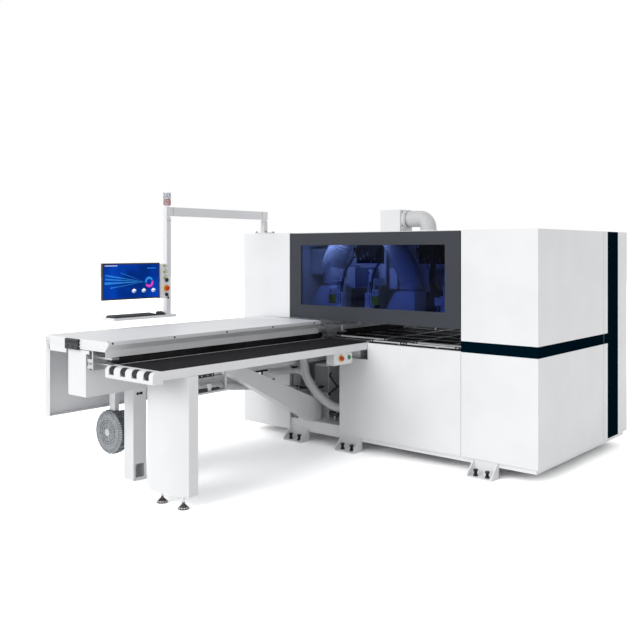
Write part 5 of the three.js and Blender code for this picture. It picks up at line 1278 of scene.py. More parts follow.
# %% [markdown]
# The hood over the feed beam is held by five dark screws along its front edge. Its near end is closed
# with plates that step over each other, and a yellow-green plug sits on the corner. The plates could be
# whole sheets, but only their edges show, so thin lips mark the steps and the flange.

# %% Hood
HOOD_FACE = -2058
HOOD_SCREW_Y = (-2250, -1706, -1179, -657, -131)
HOOD_SCREW_Z = 1102
HOOD_NEAR = -2285
HOOD_BACK = -2849.5
HOOD_LEFT = -2848
FLANGE = HOOD_BACK + 62
HOOD_LIPS = [
    ((HOOD_LEFT, HOOD_NEAR - 2.4, 1082), (-2062, HOOD_NEAR + 0.5, 1088)),
    ((HOOD_LEFT, HOOD_NEAR - 4, 1058), (-2120, HOOD_NEAR + 0.5, 1064)),
    ((HOOD_BACK, HOOD_NEAR, 513), (FLANGE, HOOD_NEAR + 3, 1098)),
    ((HOOD_BACK, HOOD_NEAR, 512.5), (FLANGE, -40, 515.5)),
]
# A grey liner on the skirt's inner face: brushed sheet, its grey darkened as painted shade inside the
# skirt.
HOOD_SHADE_LINER = [((HOOD_BACK, HOOD_NEAR + 6, 518), (HOOD_BACK + 1.2, -60, 1096))]
HOOD_PLUG = [(-2066, -2282, 1112, 1119, 5)]


def hood_end():
    mesh = bmesh.new()
    add_blocks(mesh, HOOD_LIPS)
    add_posts(mesh, HOOD_PLUG, sides=16, tint=1)
    add_blocks(mesh, HOOD_SHADE_LINER, tint=2)
    place_piece("hood_end_lips", mesh, "machine", [WHITE, TAG, SHADE_LINER], edge=0.6)


screws("hood_screws", [at(HOOD_FACE, y, HOOD_SCREW_Z) for y in HOOD_SCREW_Y], RIGHT, radius=7.5)
hood_end()

# %% [markdown]
# The black block at the end of the feed beam has a row of cable holes in its face, each with a raised
# rim. A rim and the dark well inside it are one turned outline, so nothing has to be cut out of the
# block.

# %% Cable block
BLOCK_FACE = -2300
BLOCK_HOLES = [
    *((x, 1088) for x in (-2548, -2518, -2486, -2452, -2424)),
    *((x, 1056) for x in (-2534, -2470)),
]
BLOCK_RIM = [(0, 0), (11, 0), (11, 2.4), (8, 2.4), (7, 0.6), (0, 0.6)]
BLOCK_SCREWS_X = (-2558, -2414)
BLOCK_SCREWS_Z = 1046


def block_holes():
    mesh = bmesh.new()
    for x, z in BLOCK_HOLES:
        add_turned(mesh, at(x, BLOCK_FACE - HAIR, z), FRONT, BLOCK_RIM, sides=20)
    place_piece("cable_block_holes", mesh, "machine", [BLACK], sharp=30)


block_holes()
screws("block_screws", [at(x, BLOCK_FACE, BLOCK_SCREWS_Z) for x in BLOCK_SCREWS_X], FRONT, radius=5)

# %% [markdown]
# The table's top is a bed of short black bristles. Thousands of strands would never show from here, so
# rows of tufts stand in for them: low ridges across the table, each broken by a ripple, on which the
# light catches as it does on a brush. The four end rollers get the rubber ribs and end caps that a belt
# roller has.

# %% Table top and rollers
TABLE_LEFT = -2066
TABLE_RIGHT = -1593
TABLE_NEAR = -2202
TABLE_FAR = 27
TABLE_TOP = 951
TUFT_ROWS = 150
TUFT_STEPS = 24
TUFT_HEIGHT = 1.6
RIPPLE = 1.4
RIPPLE_TURN = 2.1
RIPPLE_SHIFT = 1.3
ROLLERS = 4
ROLLER_Y = -2262
ROLLER_Z = 925
ROLLER_RADIUS = 28
ROLLER_HALF = 25
ROLLER_RIBS = 5
ROLLER_RIB = 1.1
CAP_OUTLINE = [(0, 0), (20, 0), (20, 1.4), (9, 1.6), (6, 2), (0, 2)]


def add_ridge(mesh, row):
    """One row of tufts: a three-sided bar across the table, with ends that close it."""
    pitch = (TABLE_FAR - TABLE_NEAR) / TUFT_ROWS
    near = TABLE_NEAR + row * pitch
    rings = []
    for step in range(TUFT_STEPS + 1):
        x = TABLE_LEFT + (TABLE_RIGHT - TABLE_LEFT) * step / TUFT_STEPS
        wave = RIPPLE * math.sin(step * RIPPLE_TURN + row * RIPPLE_SHIFT)
        foot = TABLE_TOP + HAIR
        places = [(near + 1, foot), (near + pitch * 0.5, TABLE_TOP + TUFT_HEIGHT), (near + pitch - 1, foot)]
        rings.append([mesh.verts.new(at(x, y + wave, z)) for y, z in places])
    bridge_rings(mesh, rings)
    for end in (rings[0], rings[-1]):
        mesh.faces.new(end)


def bristle_tufts():
    mesh = bmesh.new()
    for row in range(TUFT_ROWS):
        add_ridge(mesh, row)
    place_piece("bristle_tufts", mesh, "machine", [BELT], sharp=60)


def roller_caps(number):
    middle = (low(f"roller_{number}").x + high(f"roller_{number}").x) / 2
    mesh = bmesh.new()
    for side in (-1, 1):
        base = at(middle + side * (ROLLER_HALF - 1), ROLLER_Y, ROLLER_Z)
        add_turned(mesh, base, RIGHT * side, CAP_OUTLINE, sides=24)
    half = ROLLER_HALF - 3
    for rib in range(ROLLER_RIBS):
        angle = math.tau * rib / ROLLER_RIBS
        out = Vector((0, math.cos(angle), math.sin(angle)))
        first = at(middle - half, ROLLER_Y, ROLLER_Z) + out * (ROLLER_RADIUS - 0.6) * MM
        add_rod(mesh, first, first + RIGHT * half * 2 * MM, ROLLER_RIB, sides=8, tint=1)
    place_piece(f"roller_caps_{number}", mesh, f"roller_body_{number}", [BLACK, RUBBER], sharp=35)


bristle_tufts()
for number in range(1, ROLLERS + 1):
    roller_caps(number)

# %% [markdown]
# Under the table hang a black cable strip with bright rivets, a second strip below it, and a grey tray
# with its hangers. They are the parts that show dark between the table's leg and the brace. All of them
# are folded strips, so a list of blocks says all there is to say, and each block touches what carries it.

# %% Under the table
STRIP_NEAR = -1905
STRIP_FAR = -1640
STRIPS = [
    ((-1712, STRIP_NEAR, 842), (-1700, STRIP_FAR, 867.8)),
    ((-1700, STRIP_FAR, 846), (-1694, STRIP_FAR + 70, 852)),
    ((-1716, STRIP_NEAR, 740), (-1700, -1700, 764)),
    ((-1716, -1650, 746), (-1700, -1590, 760)),
]
RIVET_FACE = -1700
RIVETS_Y = (-1760, -1702, -1660)
RIVET_Z = 856
RIVET_RADIUS = 5
RIVET_TALL = 2.5
TRAY_NEAR = -1905
TRAY_FAR = -1480
TRAY_LEFT = -1790
TRAY_RIGHT = -1700
TRAY_FLOOR = 728
TRAY_SHEET = 4
TRAY_TOP = 738
TRAY = [
    ((TRAY_LEFT, TRAY_NEAR, TRAY_FLOOR - TRAY_SHEET), (TRAY_RIGHT, TRAY_FAR, TRAY_FLOOR)),
    ((TRAY_RIGHT - TRAY_SHEET, TRAY_NEAR, TRAY_FLOOR), (TRAY_RIGHT, TRAY_FAR, TRAY_TOP)),
    ((TRAY_LEFT, TRAY_NEAR, TRAY_FLOOR), (TRAY_LEFT + TRAY_SHEET, TRAY_FAR, TRAY_TOP)),
    *(((-1746, y, TRAY_FLOOR), (-1742, y + 24, 868)) for y in (-1880, -1500)),
]
TRAY_BOX = [((-1730, -1696, TRAY_TOP), (-1716, -1652, 790))]


def cable_strips():
    mesh = bmesh.new()
    add_blocks(mesh, STRIPS)
    for y in RIVETS_Y:
        rivet = at(RIVET_FACE, y, RIVET_Z)
        add_rod(mesh, rivet, rivet + RIGHT * RIVET_TALL * MM, RIVET_RADIUS, sides=14, tint=1)
    place_piece("cable_strips", mesh, "machine", [RUBBER, STEEL], edge=1)


def cable_tray():
    mesh = bmesh.new()
    add_blocks(mesh, TRAY)
    add_blocks(mesh, TRAY_BOX, tint=1)
    place_piece("cable_tray", mesh, "machine", [GREY, WHITE], edge=0.8)


cable_strips()
cable_tray()

# %% [markdown]
# The bay between the feed beam and the cabinet is where the machine's leads run. The photograph shows
# thick black cables there in short arcs. They could hang by a formula, but the arcs in the photograph are
# set by their clamps, so each route is a list of places given one by one. A cable's real length is that
# of its arc.

# %% Bay cables
BAY_CABLES = [
    ("bay_cable_1", 10, [
        at(-2524, 150, 470), at(-2490, 112, 468), at(-2440, 88, 466), at(-2380, 84, 466),
        at(-2320, 90, 468), at(-2262, 112, 472), at(-2232, 150, 476), at(-2226, 199.6, 480),
    ]),
    ("bay_cable_2", 10, [
        at(-2161.7, 214, 408), at(-2140, 180, 416), at(-2110, 140, 432), at(-2060, 112, 458),
        at(-2010, 102, 494), at(-1972, 104, 520), at(-1900, 122, 536), at(-1770.2, 140, 536),
    ]),
    ("bay_cable_3", 8, [
        at(-2161.7, 230, 604), at(-2130, 180, 602), at(-2090, 130, 598), at(-2050, 104, 584),
        at(-2014, 98, 552), at(-1984, 106, 524), at(-1920, 130, 492), at(-1770.2, 160, 480),
    ]),
]
CORD_STEP_SHARE = 1.5


def cord(name, radius, points):
    """A cable that is a piece by itself."""
    mesh = bmesh.new()
    path = smooth_path(points, radius * MM * CORD_STEP_SHARE)
    add_tube(mesh, path, radius, sides=14)
    place_piece(name, mesh, "machine", [RUBBER], sharp=60)


for row in BAY_CABLES:
    cord(*row)

# %% [markdown]
# The small things in the bay are ties round the ribbed hose, hanger strips over it, a dark valve at the
# floor and the faces of the grey box. A tie has to sit square on the hose wherever it is. Turning it by
# hand would do that for one route only, so it looks for the nearest place on the hose's path and takes
# its direction.

# %% Ties and hangers in the bay
TIE_PLACES = (at(-2300, -1030, 640), at(-2360, -500, 560), at(-2434, 20, 450))
TIE_BORE = 33.9
TIE_RIM = 36.6
TIE_WIDE = 7
TIE_OUTLINE = [(TIE_BORE, 0), (TIE_RIM, 0), (TIE_RIM, TIE_WIDE), (TIE_BORE, TIE_WIDE), (TIE_BORE, 0)]
TIE_HEAD_WAY = Vector((0.3, 0, -1)).normalized()
TIE_HEAD_OUT = 35.4 * MM
TIE_HEAD_HALF = Vector((9, 9, 8)) * MM
HANGER_STRIPS = [
    ((-2345, -619, 683), (-2338.2, -429, 700)),
    ((-2352, -500, 640), (-2338.2, -488, 690)),
    ((-2352, -104, 668), (-2338.2, -31, 684)),
    ((-2352, -366, 556), (-2338.2, -338, 606)),
]


def hose_tie(number, near):
    middle = min(range(1, len(air_path) - 1), key=lambda i: (air_path[i] - near).length)
    way = (air_path[middle + 1] - air_path[middle - 1]).normalized()
    mesh = bmesh.new()
    add_turned(mesh, air_path[middle], way, TIE_OUTLINE, sides=36)
    head = air_path[middle] + TIE_HEAD_WAY * TIE_HEAD_OUT
    add_block(mesh, head - TIE_HEAD_HALF, head + TIE_HEAD_HALF)
    place_piece(f"air_hose_tie_{number}", mesh, "machine", [RUBBER], edge=0.5)


def hanger_strips():
    mesh = bmesh.new()
    add_blocks(mesh, HANGER_STRIPS)
    place_piece("hanger_strips", mesh, "machine", [RUBBER], edge=1)


for number, near in enumerate(TIE_PLACES, 1):
    hose_tie(number, near)
hanger_strips()

# %% [markdown]
# On the floor of the bay stands a small valve on its foot, and the control boxes have a raised lid and a
# dark vent. The lid's mid grey is painted shade, for the box face that lies in shade, and the vent's black
# is painted shade for its openings. A lid could be drawn as a line in the finish, but its edge casts a thin
# shadow, so it stands a few millimetres proud. Its place is read from the boxes, so it stays on them when
# they are moved.

# %% Bay valve and box faces
BOX_LID_WIDE = 152
BOX_LID_IN = 8
BOX_LID_PROUD = 4
BOX_LID_LOW = 426
BOX_LID_TOP = 668
VENT_IN = 24
VENT_FAR = 150
VENT_NEAR = 245.5
VENT_BACK = 251
VENT_LOW = 470
VENT_TOP = 486
VALVE_Y = 165
VALVE_LOW = 236
VALVE_HIGH = 268
VALVE_BODY = [((-2108, 140, VALVE_LOW), (-2008, 190, VALVE_HIGH))]
VALVE_TOP = [(-2080, VALVE_Y, VALVE_HIGH, 292, 15)]
VALVE_STEM = [(-2030, VALVE_Y, VALVE_HIGH, 306, 11)]
VALVE_FOOT = [(-2058, VALVE_Y, 190.5, VALVE_LOW, 12)]


def bay_valve():
    mesh = bmesh.new()
    add_blocks(mesh, VALVE_BODY)
    add_posts(mesh, VALVE_TOP)
    add_posts(mesh, VALVE_STEM, tint=1)
    add_posts(mesh, VALVE_FOOT, sides=16, tint=1)
    place_piece("bay_valve", mesh, "machine", [BLACK, STEEL], edge=1.5)


def box_faces():
    left = low("bay_boxes").x
    right = high("bay_boxes").x
    near = low("bay_boxes").y
    mesh = bmesh.new()
    face = (
        (right - BOX_LID_WIDE - BOX_LID_IN, near - BOX_LID_PROUD, BOX_LID_LOW),
        (right - BOX_LID_IN, near + 1, BOX_LID_TOP),
    )
    add_blocks(mesh, [face])
    # The vent's black block is painted shade for the dark openings of the vent.
    vent = ((left + VENT_IN, VENT_NEAR, VENT_LOW), (left + VENT_FAR, VENT_BACK, VENT_TOP))
    add_blocks(mesh, [vent], tint=1)
    place_piece("bay_box_faces", mesh, "machine", [BAY_SHADE_GREY, BLACK], edge=1.5)


bay_valve()
box_faces()

# %% [markdown]
# The blower is an aluminium casting. Its mouth is closed by a grille of fine spokes and rings, with short
# cooling ribs round the rim. They could be copied round by an array, but everything on the cover goes
# round one centre, so one helper gives a place from a turn and a radius, and loops do the rest.

# %% Blower grille
BLOWER_X = -2692
BLOWER_Z = 333
BLOWER_FRONT = -1846
SPOKES = [
    (48, 0.5, (30, 3), (105, 3), 1.7),
    (56, 0, (111, 0.5), (136, 0.5), 1.8),
    (56, 0, (151, 1), (165, 14), 2.6),
]
GRILLE_RADII = (62, 84, 102)
GRILLE_BACK = 4
GRILLE_RING = 1.6
GRILLE_DEEP = 3.6
HUB_OUTLINE = [(0, 0), (28, 0), (26, 4), (0, 6)]


def round_blower(turn, radius, depth):
    """A place on the cover, from a turn of 0 to 1, a radius and a depth behind its face."""
    angle = math.tau * turn
    return at(
        BLOWER_X + radius * math.cos(angle), BLOWER_FRONT + depth, BLOWER_Z + radius * math.sin(angle)
    )


def add_spokes(mesh, count, shift, first, last, thick):
    """Rods all round the cover, each from one (radius, depth) to another."""
    for k in range(count):
        turn = (k + shift) / count
        add_rod(mesh, round_blower(turn, *first), round_blower(turn, *last), thick, sides=6)


def blower_grille():
    mesh = bmesh.new()
    for row in SPOKES:
        add_spokes(mesh, *row)
    for radius in GRILLE_RADII:
        inner = radius - GRILLE_RING
        outer = radius + GRILLE_RING
        ring = [(inner, 0), (outer, 0), (outer, GRILLE_DEEP), (inner, GRILLE_DEEP), (inner, 0)]
        add_turned(mesh, at(BLOWER_X, BLOWER_FRONT + GRILLE_BACK, BLOWER_Z), FRONT, ring, sides=72)
    add_turned(mesh, at(BLOWER_X, BLOWER_FRONT, BLOWER_Z), FRONT, HUB_OUTLINE, sides=40)
    place_piece("blower_grille", mesh, "machine", [BLOWER], sharp=40)


blower_grille()

# %% [markdown]
# The cover is bolted on round its rim, and a small terminal box sits on the side with a cable to the
# beam's leg. The bolts could be lined up by hand, but they use the grille's own helper, so they stay on
# its circle.

# %% Blower bolts, box and cable
BLOWER_BOLTS = 12
BLOWER_BOLT_RADIUS = 143
BLOWER_BOX = [((-2545, -1762, 400), (-2521.5, -1700, 452))]
BLOWER_CLIPS = [((-2624, -1765, 300), (-2612, -1750, 330)), ((-2560, -1768, 452), (-2548, -1750, 470))]
BLOWER_CABLE = [
    at(-2541, -1758, 462), at(-2546, -1762, 492), at(-2543, -1766, 524), at(-2532, -1768, 550),
    at(-2516.6, -1769, 572),
]
BLOWER_CABLE_RADIUS = 7
LEG_FACE = -2402
LEG_BOLTS_Y = (-1780, -1745)
LEG_BOLTS_Z = 657


def blower_bolts():
    mesh = bmesh.new()
    for k in range(BLOWER_BOLTS):
        add_hex_bolt(mesh, round_blower((k + 0.5) / BLOWER_BOLTS, BLOWER_BOLT_RADIUS, 0), FRONT, radius=5)
    place_piece("blower_bolts", mesh, "machine", [STEEL], sharp=30)


def blower_box():
    mesh = bmesh.new()
    add_blocks(mesh, BLOWER_BOX, tint=1)
    add_blocks(mesh, BLOWER_CLIPS)
    place_piece("blower_box", mesh, "machine", [RUBBER, CAST], edge=0.8)
    cord("blower_cable", BLOWER_CABLE_RADIUS, BLOWER_CABLE)


blower_bolts()
blower_box()
screws("leg_bolts", [at(LEG_FACE, y, LEG_BOLTS_Z) for y in LEG_BOLTS_Y], RIGHT, radius=8, add=add_hex_bolt)

# %% [markdown]
# The machine stands on jack bolts. Each has a hexagon head over a nut, black against the white bracket,
# and the table's two feet have steel pads. The frame has the plain bolts. Its shafts could be cut with a
# real helix, but three millimetres of pitch are below what this picture shows, so a sleeve of plain rings
# gives the threads.

# %% Feet and jack bolts
BRACKETS_X = (-440, -1750, -2358)
BRACKETS_Y = (-48.7, 1848.7)
JACK_SIDE = 50
JACK_THREADS = 9
THREAD_LOW = 24
THREAD_PITCH = 3
THREAD_ROOT = 11.4
THREAD_CREST = 12.8
NUT_FOOT = 12.2
HEAD_FOOT = 51
SHAFT_TOP = 52
NUT_OUTLINE = [(0, 0), (20, 0), (20, 10), (18, 12), (0, 12)]
HEAD_OUTLINE = [(0, 0), (20, 0), (20, 12), (17, 14), (0, 14)]
FEET_X = (-1835, -1610)
FEET_Y = -2000
FOOT_OUTLINE = [(0, 0.2), (38.6, 0.2), (38.6, 7), (36, 8.8), (14, 31), (10.5, 31), (10.5, 44), (0, 44)]


def add_jack_bolt(mesh, x, y):
    thread = [(0, NUT_FOOT)]
    for k in range(JACK_THREADS):
        level = THREAD_LOW + k * THREAD_PITCH
        thread += [(THREAD_ROOT, level), (THREAD_CREST, level + THREAD_PITCH / 2)]
    thread += [(THREAD_ROOT, SHAFT_TOP), (0, SHAFT_TOP)]
    add_turned(mesh, at(x, y, 0), UP, thread, sides=20)
    add_turned(mesh, at(x, y, NUT_FOOT), UP, NUT_OUTLINE, sides=6)
    add_turned(mesh, at(x, y, HEAD_FOOT), UP, HEAD_OUTLINE, sides=6)


def jack_bolts():
    mesh = bmesh.new()
    for x in BRACKETS_X:
        for y in BRACKETS_Y:
            for side in (-JACK_SIDE, JACK_SIDE):
                add_jack_bolt(mesh, x + side, y)
    place_piece("jack_bolt_threads", mesh, "machine", [BOLT], sharp=30)


def table_feet():
    mesh = bmesh.new()
    for x in FEET_X:
        add_turned(mesh, at(x, FEET_Y, 0), UP, FOOT_OUTLINE, sides=32)
    place_piece("table_feet_pads", mesh, "machine", [FOOT], sharp=30)


jack_bolts()
table_feet()

# %% [markdown]
# The screen is the one bright thing on this machine, so it has to look lit: its colours are emission, not
# paint. A lamp in front of it would make it bright too, but a lamp has one colour and would shine on the
# post as well. The same patches that make paint uneven make the light uneven, as on a real picture.

# %% A finish that gives light


def glow(name, colour, strength, drift, patch):
    """A finish that gives off its own patchy colour and hardly shines."""
    material = finish(name, shade(*colour), 0.3, patch=patch, drift=drift, grain=20.0, pebble=0.0)
    shader = material.node_tree.nodes["Principled BSDF"]
    tone = shader.inputs["Base Color"].links[0].from_socket
    material.node_tree.links.new(tone, shader.inputs["Emission Color"])
    shader.inputs["Emission Strength"].default_value = strength
    return matt(material, 0.02)


print("glow: emission from the finish itself")

# %% [markdown]
# The picture is made of flat shapes laid a hair in front of the glass. An image file would be simpler to
# swap, but flat shapes need no file at all. Their places are shares of the screen's width and height, so
# that the picture fits whatever the screen's size is. A ring is a row of small pieces, and a cube is
# three slanted ones.

# %% Flat signs on the screen
SCREEN_X = -2781.4
SCREEN_NEAR = -1821
SCREEN_FAR = -1279
SCREEN_LOW = 1357
SCREEN_TOP = 1630
SCREEN_SHAPE = (SCREEN_TOP - SCREEN_LOW) / (SCREEN_FAR - SCREEN_NEAR)
RING_SHARES = (0.82, 0.46)
RING_REACH_SHARES = (0.09, 0.16)
ARC_STEPS = 18
CUBE_UP_SHARE = 0.23
CUBE_SIZE_SHARE = 0.08


def screen_point(across, up, lift):
    y = SCREEN_NEAR + (SCREEN_FAR - SCREEN_NEAR) * across
    return at(SCREEN_X + lift, y, SCREEN_LOW + (SCREEN_TOP - SCREEN_LOW) * up)


def add_flat(mesh, corners, lift, tint):
    front = [mesh.verts.new(screen_point(across, up, lift)) for across, up in corners]
    mesh.faces.new(front).material_index = tint


def add_band(mesh, left, right, low_edge, high_edge, lift, tint):
    corners = [(left, low_edge), (right, low_edge), (right, high_edge), (left, high_edge)]
    add_flat(mesh, corners, lift, tint)


def add_arc(mesh, start, end, tint):
    """Part of the ring, from one angle to another, as a row of flat pieces."""
    inner, outer = RING_REACH_SHARES
    for k in range(ARC_STEPS):
        first, last = (start + (end - start) * (k + i) / ARC_STEPS for i in (0, 1))
        corners = []
        for radius, angle in ((inner, first), (outer, first), (outer, last), (inner, last)):
            across = RING_SHARES[0] + radius * SCREEN_SHAPE * math.cos(angle)
            corners.append((across, RING_SHARES[1] + radius * math.sin(angle)))
        add_flat(mesh, corners, 0.4, tint)


def add_cube_sign(mesh, across):
    """A cube seen from above: a pale top and two darker sides."""
    size = CUBE_SIZE_SHARE
    wide = size * SCREEN_SHAPE
    left = (across - wide, CUBE_UP_SHARE)
    right = (across + wide, CUBE_UP_SHARE)
    middle = (across, CUBE_UP_SHARE - size * 0.45)
    tip = (across, CUBE_UP_SHARE - size * 1.1)
    add_flat(mesh, [left, middle, right, (across, CUBE_UP_SHARE + size * 0.6)], 0.5, 3)
    for corner, tint in ((left, 4), (right, 5)):
        add_flat(mesh, [corner, (corner[0], CUBE_UP_SHARE - size * 0.7), tip, middle], 0.5, tint)


print("screen:", SCREEN_FAR - SCREEN_NEAR, "by", SCREEN_TOP - SCREEN_LOW, "mm")

# %% [markdown]
# The picture itself is a generic one of our own: a deep blue ground that changes with a broad noise, thin
# bands of light that meet at a ring of two arcs, and three plain cubes. It could show anything, and it
# says nothing that could be read, since nobody reads a screen from across a workshop.

# %% Screen picture
RING_ARCS = [(0.5, 3.3, 1), (3.7, 6.5, 2)]
STREAK_SHARES = [
    (0.03, 0.66, 0.05), (0.03, 0.55, 0.05), (0.02, 0.42, 0.07), (0.12, 0.3, 0.03), (0.3, 0.74, 0.02),
]
STREAK_END_SHARES = (RING_SHARES[0] - 0.08, RING_SHARES[1] + 0.01)
CUBE_SHARES = (0.54, 0.72, 0.9)
SCREEN_COLOURS = [
    ("screen_blue", (4, 62, 172), 0.62, 0.4, 3.0),
    ("screen_light_blue", (44, 128, 208), 0.6, 0.6, 8.0),
    ("screen_pink", (214, 60, 170), 0.7, 0.7, 8.0),
    ("screen_white", (226, 234, 246), 0.7, 0.9, 8.0),
    ("screen_pale", (170, 184, 214), 0.6, 0.9, 8.0),
    ("screen_shade", (110, 126, 168), 0.6, 0.9, 8.0),
]


def screen():
    mesh = bmesh.new()
    add_band(mesh, 0, 1, 0, 1, 0.1, 0)
    add_band(mesh, 0.02, 0.24, 0.955, 0.97, 0.3, 3)
    add_band(mesh, 0.78, 0.95, 0.87, 0.89, 0.3, 1)
    for across, up, width in STREAK_SHARES:
        add_flat(mesh, [(across, up), (across, up + width), STREAK_END_SHARES], 0.2, 1)
    for row in RING_ARCS:
        add_arc(mesh, *row)
    for across in CUBE_SHARES:
        add_cube_sign(mesh, across)
    materials = [glow(*row) for row in SCREEN_COLOURS]
    place_piece("screen_picture", mesh, "operator_console", materials)


screen()

# %% [markdown]
# The keyboard's caps are small tapered blocks in five rows on the sloping tray, and the mouse has a wheel
# and a seam. A keyboard is a grid with one wide key, so the caps are made in one loop. An array modifier
# could repeat a cap as well, but it couldn't leave out the keys where the space bar is.

# %% Keyboard and mouse
KEYS_NEAR = -1702
KEYS_FAR = -1281
KEYS_BACK = -2905
KEYS_FRONT = -2791
KEY_ROWS = 5
KEY_COUNT = 18
KEY_LOW = 1209.3
KEY_RISE = 9
KEY_SUNK = 2
KEY_LIFT = 3.4
KEY_TAPER = 1.6
ROW_GAP = 3.2
KEY_GAP = 1.4
SPACE_KEYS = (5, 10)
MOUSE_Y = -1240
WHEEL_ENDS = (at(-2846, MOUSE_Y, 1226), at(-2838, MOUSE_Y, 1226))
WHEEL_RADIUS = 6
MOUSE_SEAM = [((-2842.6, MOUSE_Y - 18, 1212), (-2841.4, MOUSE_Y - 6, 1228.5))]


def add_key(mesh, x0, x1, y0, y1, level):
    rings = []
    for inset, z in ((0, level - KEY_SUNK), (KEY_TAPER, level + KEY_LIFT)):
        left, right, near, far = x0 + inset, x1 - inset, y0 + inset, y1 - inset
        corners = [(left, near), (right, near), (right, far), (left, far)]
        rings.append([mesh.verts.new(at(x, y, z)) for x, y in corners])
    bridge_rings(mesh, rings)
    mesh.faces.new(rings[1])


def key_caps():
    mesh = bmesh.new()
    deep = (KEYS_FRONT - KEYS_BACK) / KEY_ROWS
    wide = (KEYS_FAR - KEYS_NEAR) / KEY_COUNT
    space, after = SPACE_KEYS
    for row in range(KEY_ROWS):
        last_row = row == KEY_ROWS - 1
        back = KEYS_BACK + row * deep
        level = KEY_LOW + KEY_RISE * (1 - (row + 0.5) / KEY_ROWS)
        for k in range(KEY_COUNT):
            if last_row and space < k < after:
                continue
            span = after - space if last_row and k == space else 1
            near = KEYS_NEAR + k * wide
            far = near + wide * span
            add_key(mesh, back + ROW_GAP, back + deep - ROW_GAP, near + KEY_GAP, far - KEY_GAP, level)
    place_piece("key_caps", mesh, "operator_console", [BLACK], sharp=30)


def mouse_wheel():
    mesh = bmesh.new()
    add_rod(mesh, *WHEEL_ENDS, WHEEL_RADIUS)
    add_blocks(mesh, MOUSE_SEAM)
    place_piece("mouse_wheel", mesh, "operator_console", [RUBBER], sharp=30)


key_caps()
mouse_wheel()

# %% [markdown]
# Controls are read by their colours. The stop buttons sit on yellow rings, each push button has a metal
# collar and a yellow-green square beside it, and the selector has a light mark that shows its turn. A
# painted ring would lie flat, so each collar is a turned ring with a small chamfer that catches the
# light.

# %% Console controls
CHAMFER_IN_SHARE = 0.4
CHAMFER_LOW_SHARE = 0.7
PANEL_FACE = -2770
BUTTON_Y = -1206
BUTTONS_Z = (1595, 1544, 1494)
TAG_SPAN = (-32, -13)
TAG_RISE = (9, 28)
TAG_PROUD = 1.2
CONSOLE_STOP_Z = 1426
KNOB_Z = 1373
LOCK_Y = -1192
LOCK_Z = 1345
LOCK_OUTLINE = [(0, 0.2), (9.3, 0.2), (9.3, 1), (0, 1)]
LOCK_SLOT = [((PANEL_FACE + 9, LOCK_Y - 1, LOCK_Z - 5), (PANEL_FACE + 9.6, LOCK_Y + 1, LOCK_Z + 5))]
SELECTOR_MARK = [((-2746, BUTTON_Y - 1, KNOB_Z), (-2745.4, BUTTON_Y + 1, KNOB_Z + 10))]


def add_ring(mesh, place, inner, outer, rise, tint=0):
    """A collar with a chamfer on a face that looks to the right."""
    edge = outer - rise * CHAMFER_IN_SHARE
    side = rise * CHAMFER_LOW_SHARE
    outline = [(inner, 0), (outer, 0), (outer, side), (edge, rise), (inner, rise), (inner, 0)]
    add_turned(mesh, at(*place), RIGHT, outline, sides=40, tint=tint)


def add_tag(mesh, z):
    low_end = at(PANEL_FACE, BUTTON_Y + TAG_SPAN[0], z + TAG_RISE[0])
    add_block(mesh, low_end, at(PANEL_FACE + TAG_PROUD, BUTTON_Y + TAG_SPAN[1], z + TAG_RISE[1]), tint=1)


def console_controls():
    mesh = bmesh.new()
    for z in BUTTONS_Z:
        add_ring(mesh, (PANEL_FACE, BUTTON_Y, z), inner=16.6, outer=19.5, rise=2.2)
        add_tag(mesh, z)
    add_ring(mesh, (PANEL_FACE, BUTTON_Y, CONSOLE_STOP_Z), inner=11, outer=29, rise=2, tint=2)
    add_ring(mesh, (PANEL_FACE, BUTTON_Y, KNOB_Z), inner=12.8, outer=15.5, rise=1.6, tint=3)
    add_ring(mesh, (PANEL_FACE, LOCK_Y, LOCK_Z + 2), inner=9.4, outer=11.5, rise=1.6, tint=3)
    add_turned(mesh, at(PANEL_FACE + 8, LOCK_Y, LOCK_Z), RIGHT, LOCK_OUTLINE, 24, 3)
    add_blocks(mesh, LOCK_SLOT)
    place_piece("console_collars", mesh, "operator_console", [STEEL, TAG, YELLOW, BLACK], sharp=35)


def selector_mark():
    mesh = bmesh.new()
    add_blocks(mesh, SELECTOR_MARK)
    place_piece("selector_mark", mesh, "selector", [CAPWHITE])


console_controls()
selector_mark()

# %% [markdown]
# The button box at the table has a stop button and a start button of its own, and four screws hold its
# cover. The same ring helper serves here, because both boxes face to the right.

# %% Table controls
BOX_FACE = -1600
TABLE_STOP = (-320, 845)
TABLE_START = (-213, 845)
BOX_SCREWS_Y = (-400, -182)
BOX_SCREWS_Z = (804, 884)


def table_controls():
    mesh = bmesh.new()
    add_ring(mesh, (BOX_FACE, *TABLE_STOP), inner=11, outer=30, rise=2, tint=1)
    add_ring(mesh, (BOX_FACE, *TABLE_START), inner=16.8, outer=20, rise=2.4)
    for y in BOX_SCREWS_Y:
        for z in BOX_SCREWS_Z:
            add_dome_screw(mesh, at(BOX_FACE, y, z), RIGHT, radius=3.4, tint=2)
    place_piece("table_collars", mesh, "machine", [STEEL, YELLOW, BOLT], sharp=35)


table_controls()

# %% [markdown]
# The signal light's lenses are fluted inside, which spreads the lamp's light. The flutes could be cut
# into the lens, but that is the frame's own solid, so a core of fine vertical ribs in each tier shows
# through the clear plastic, and a white disc parts the tiers.

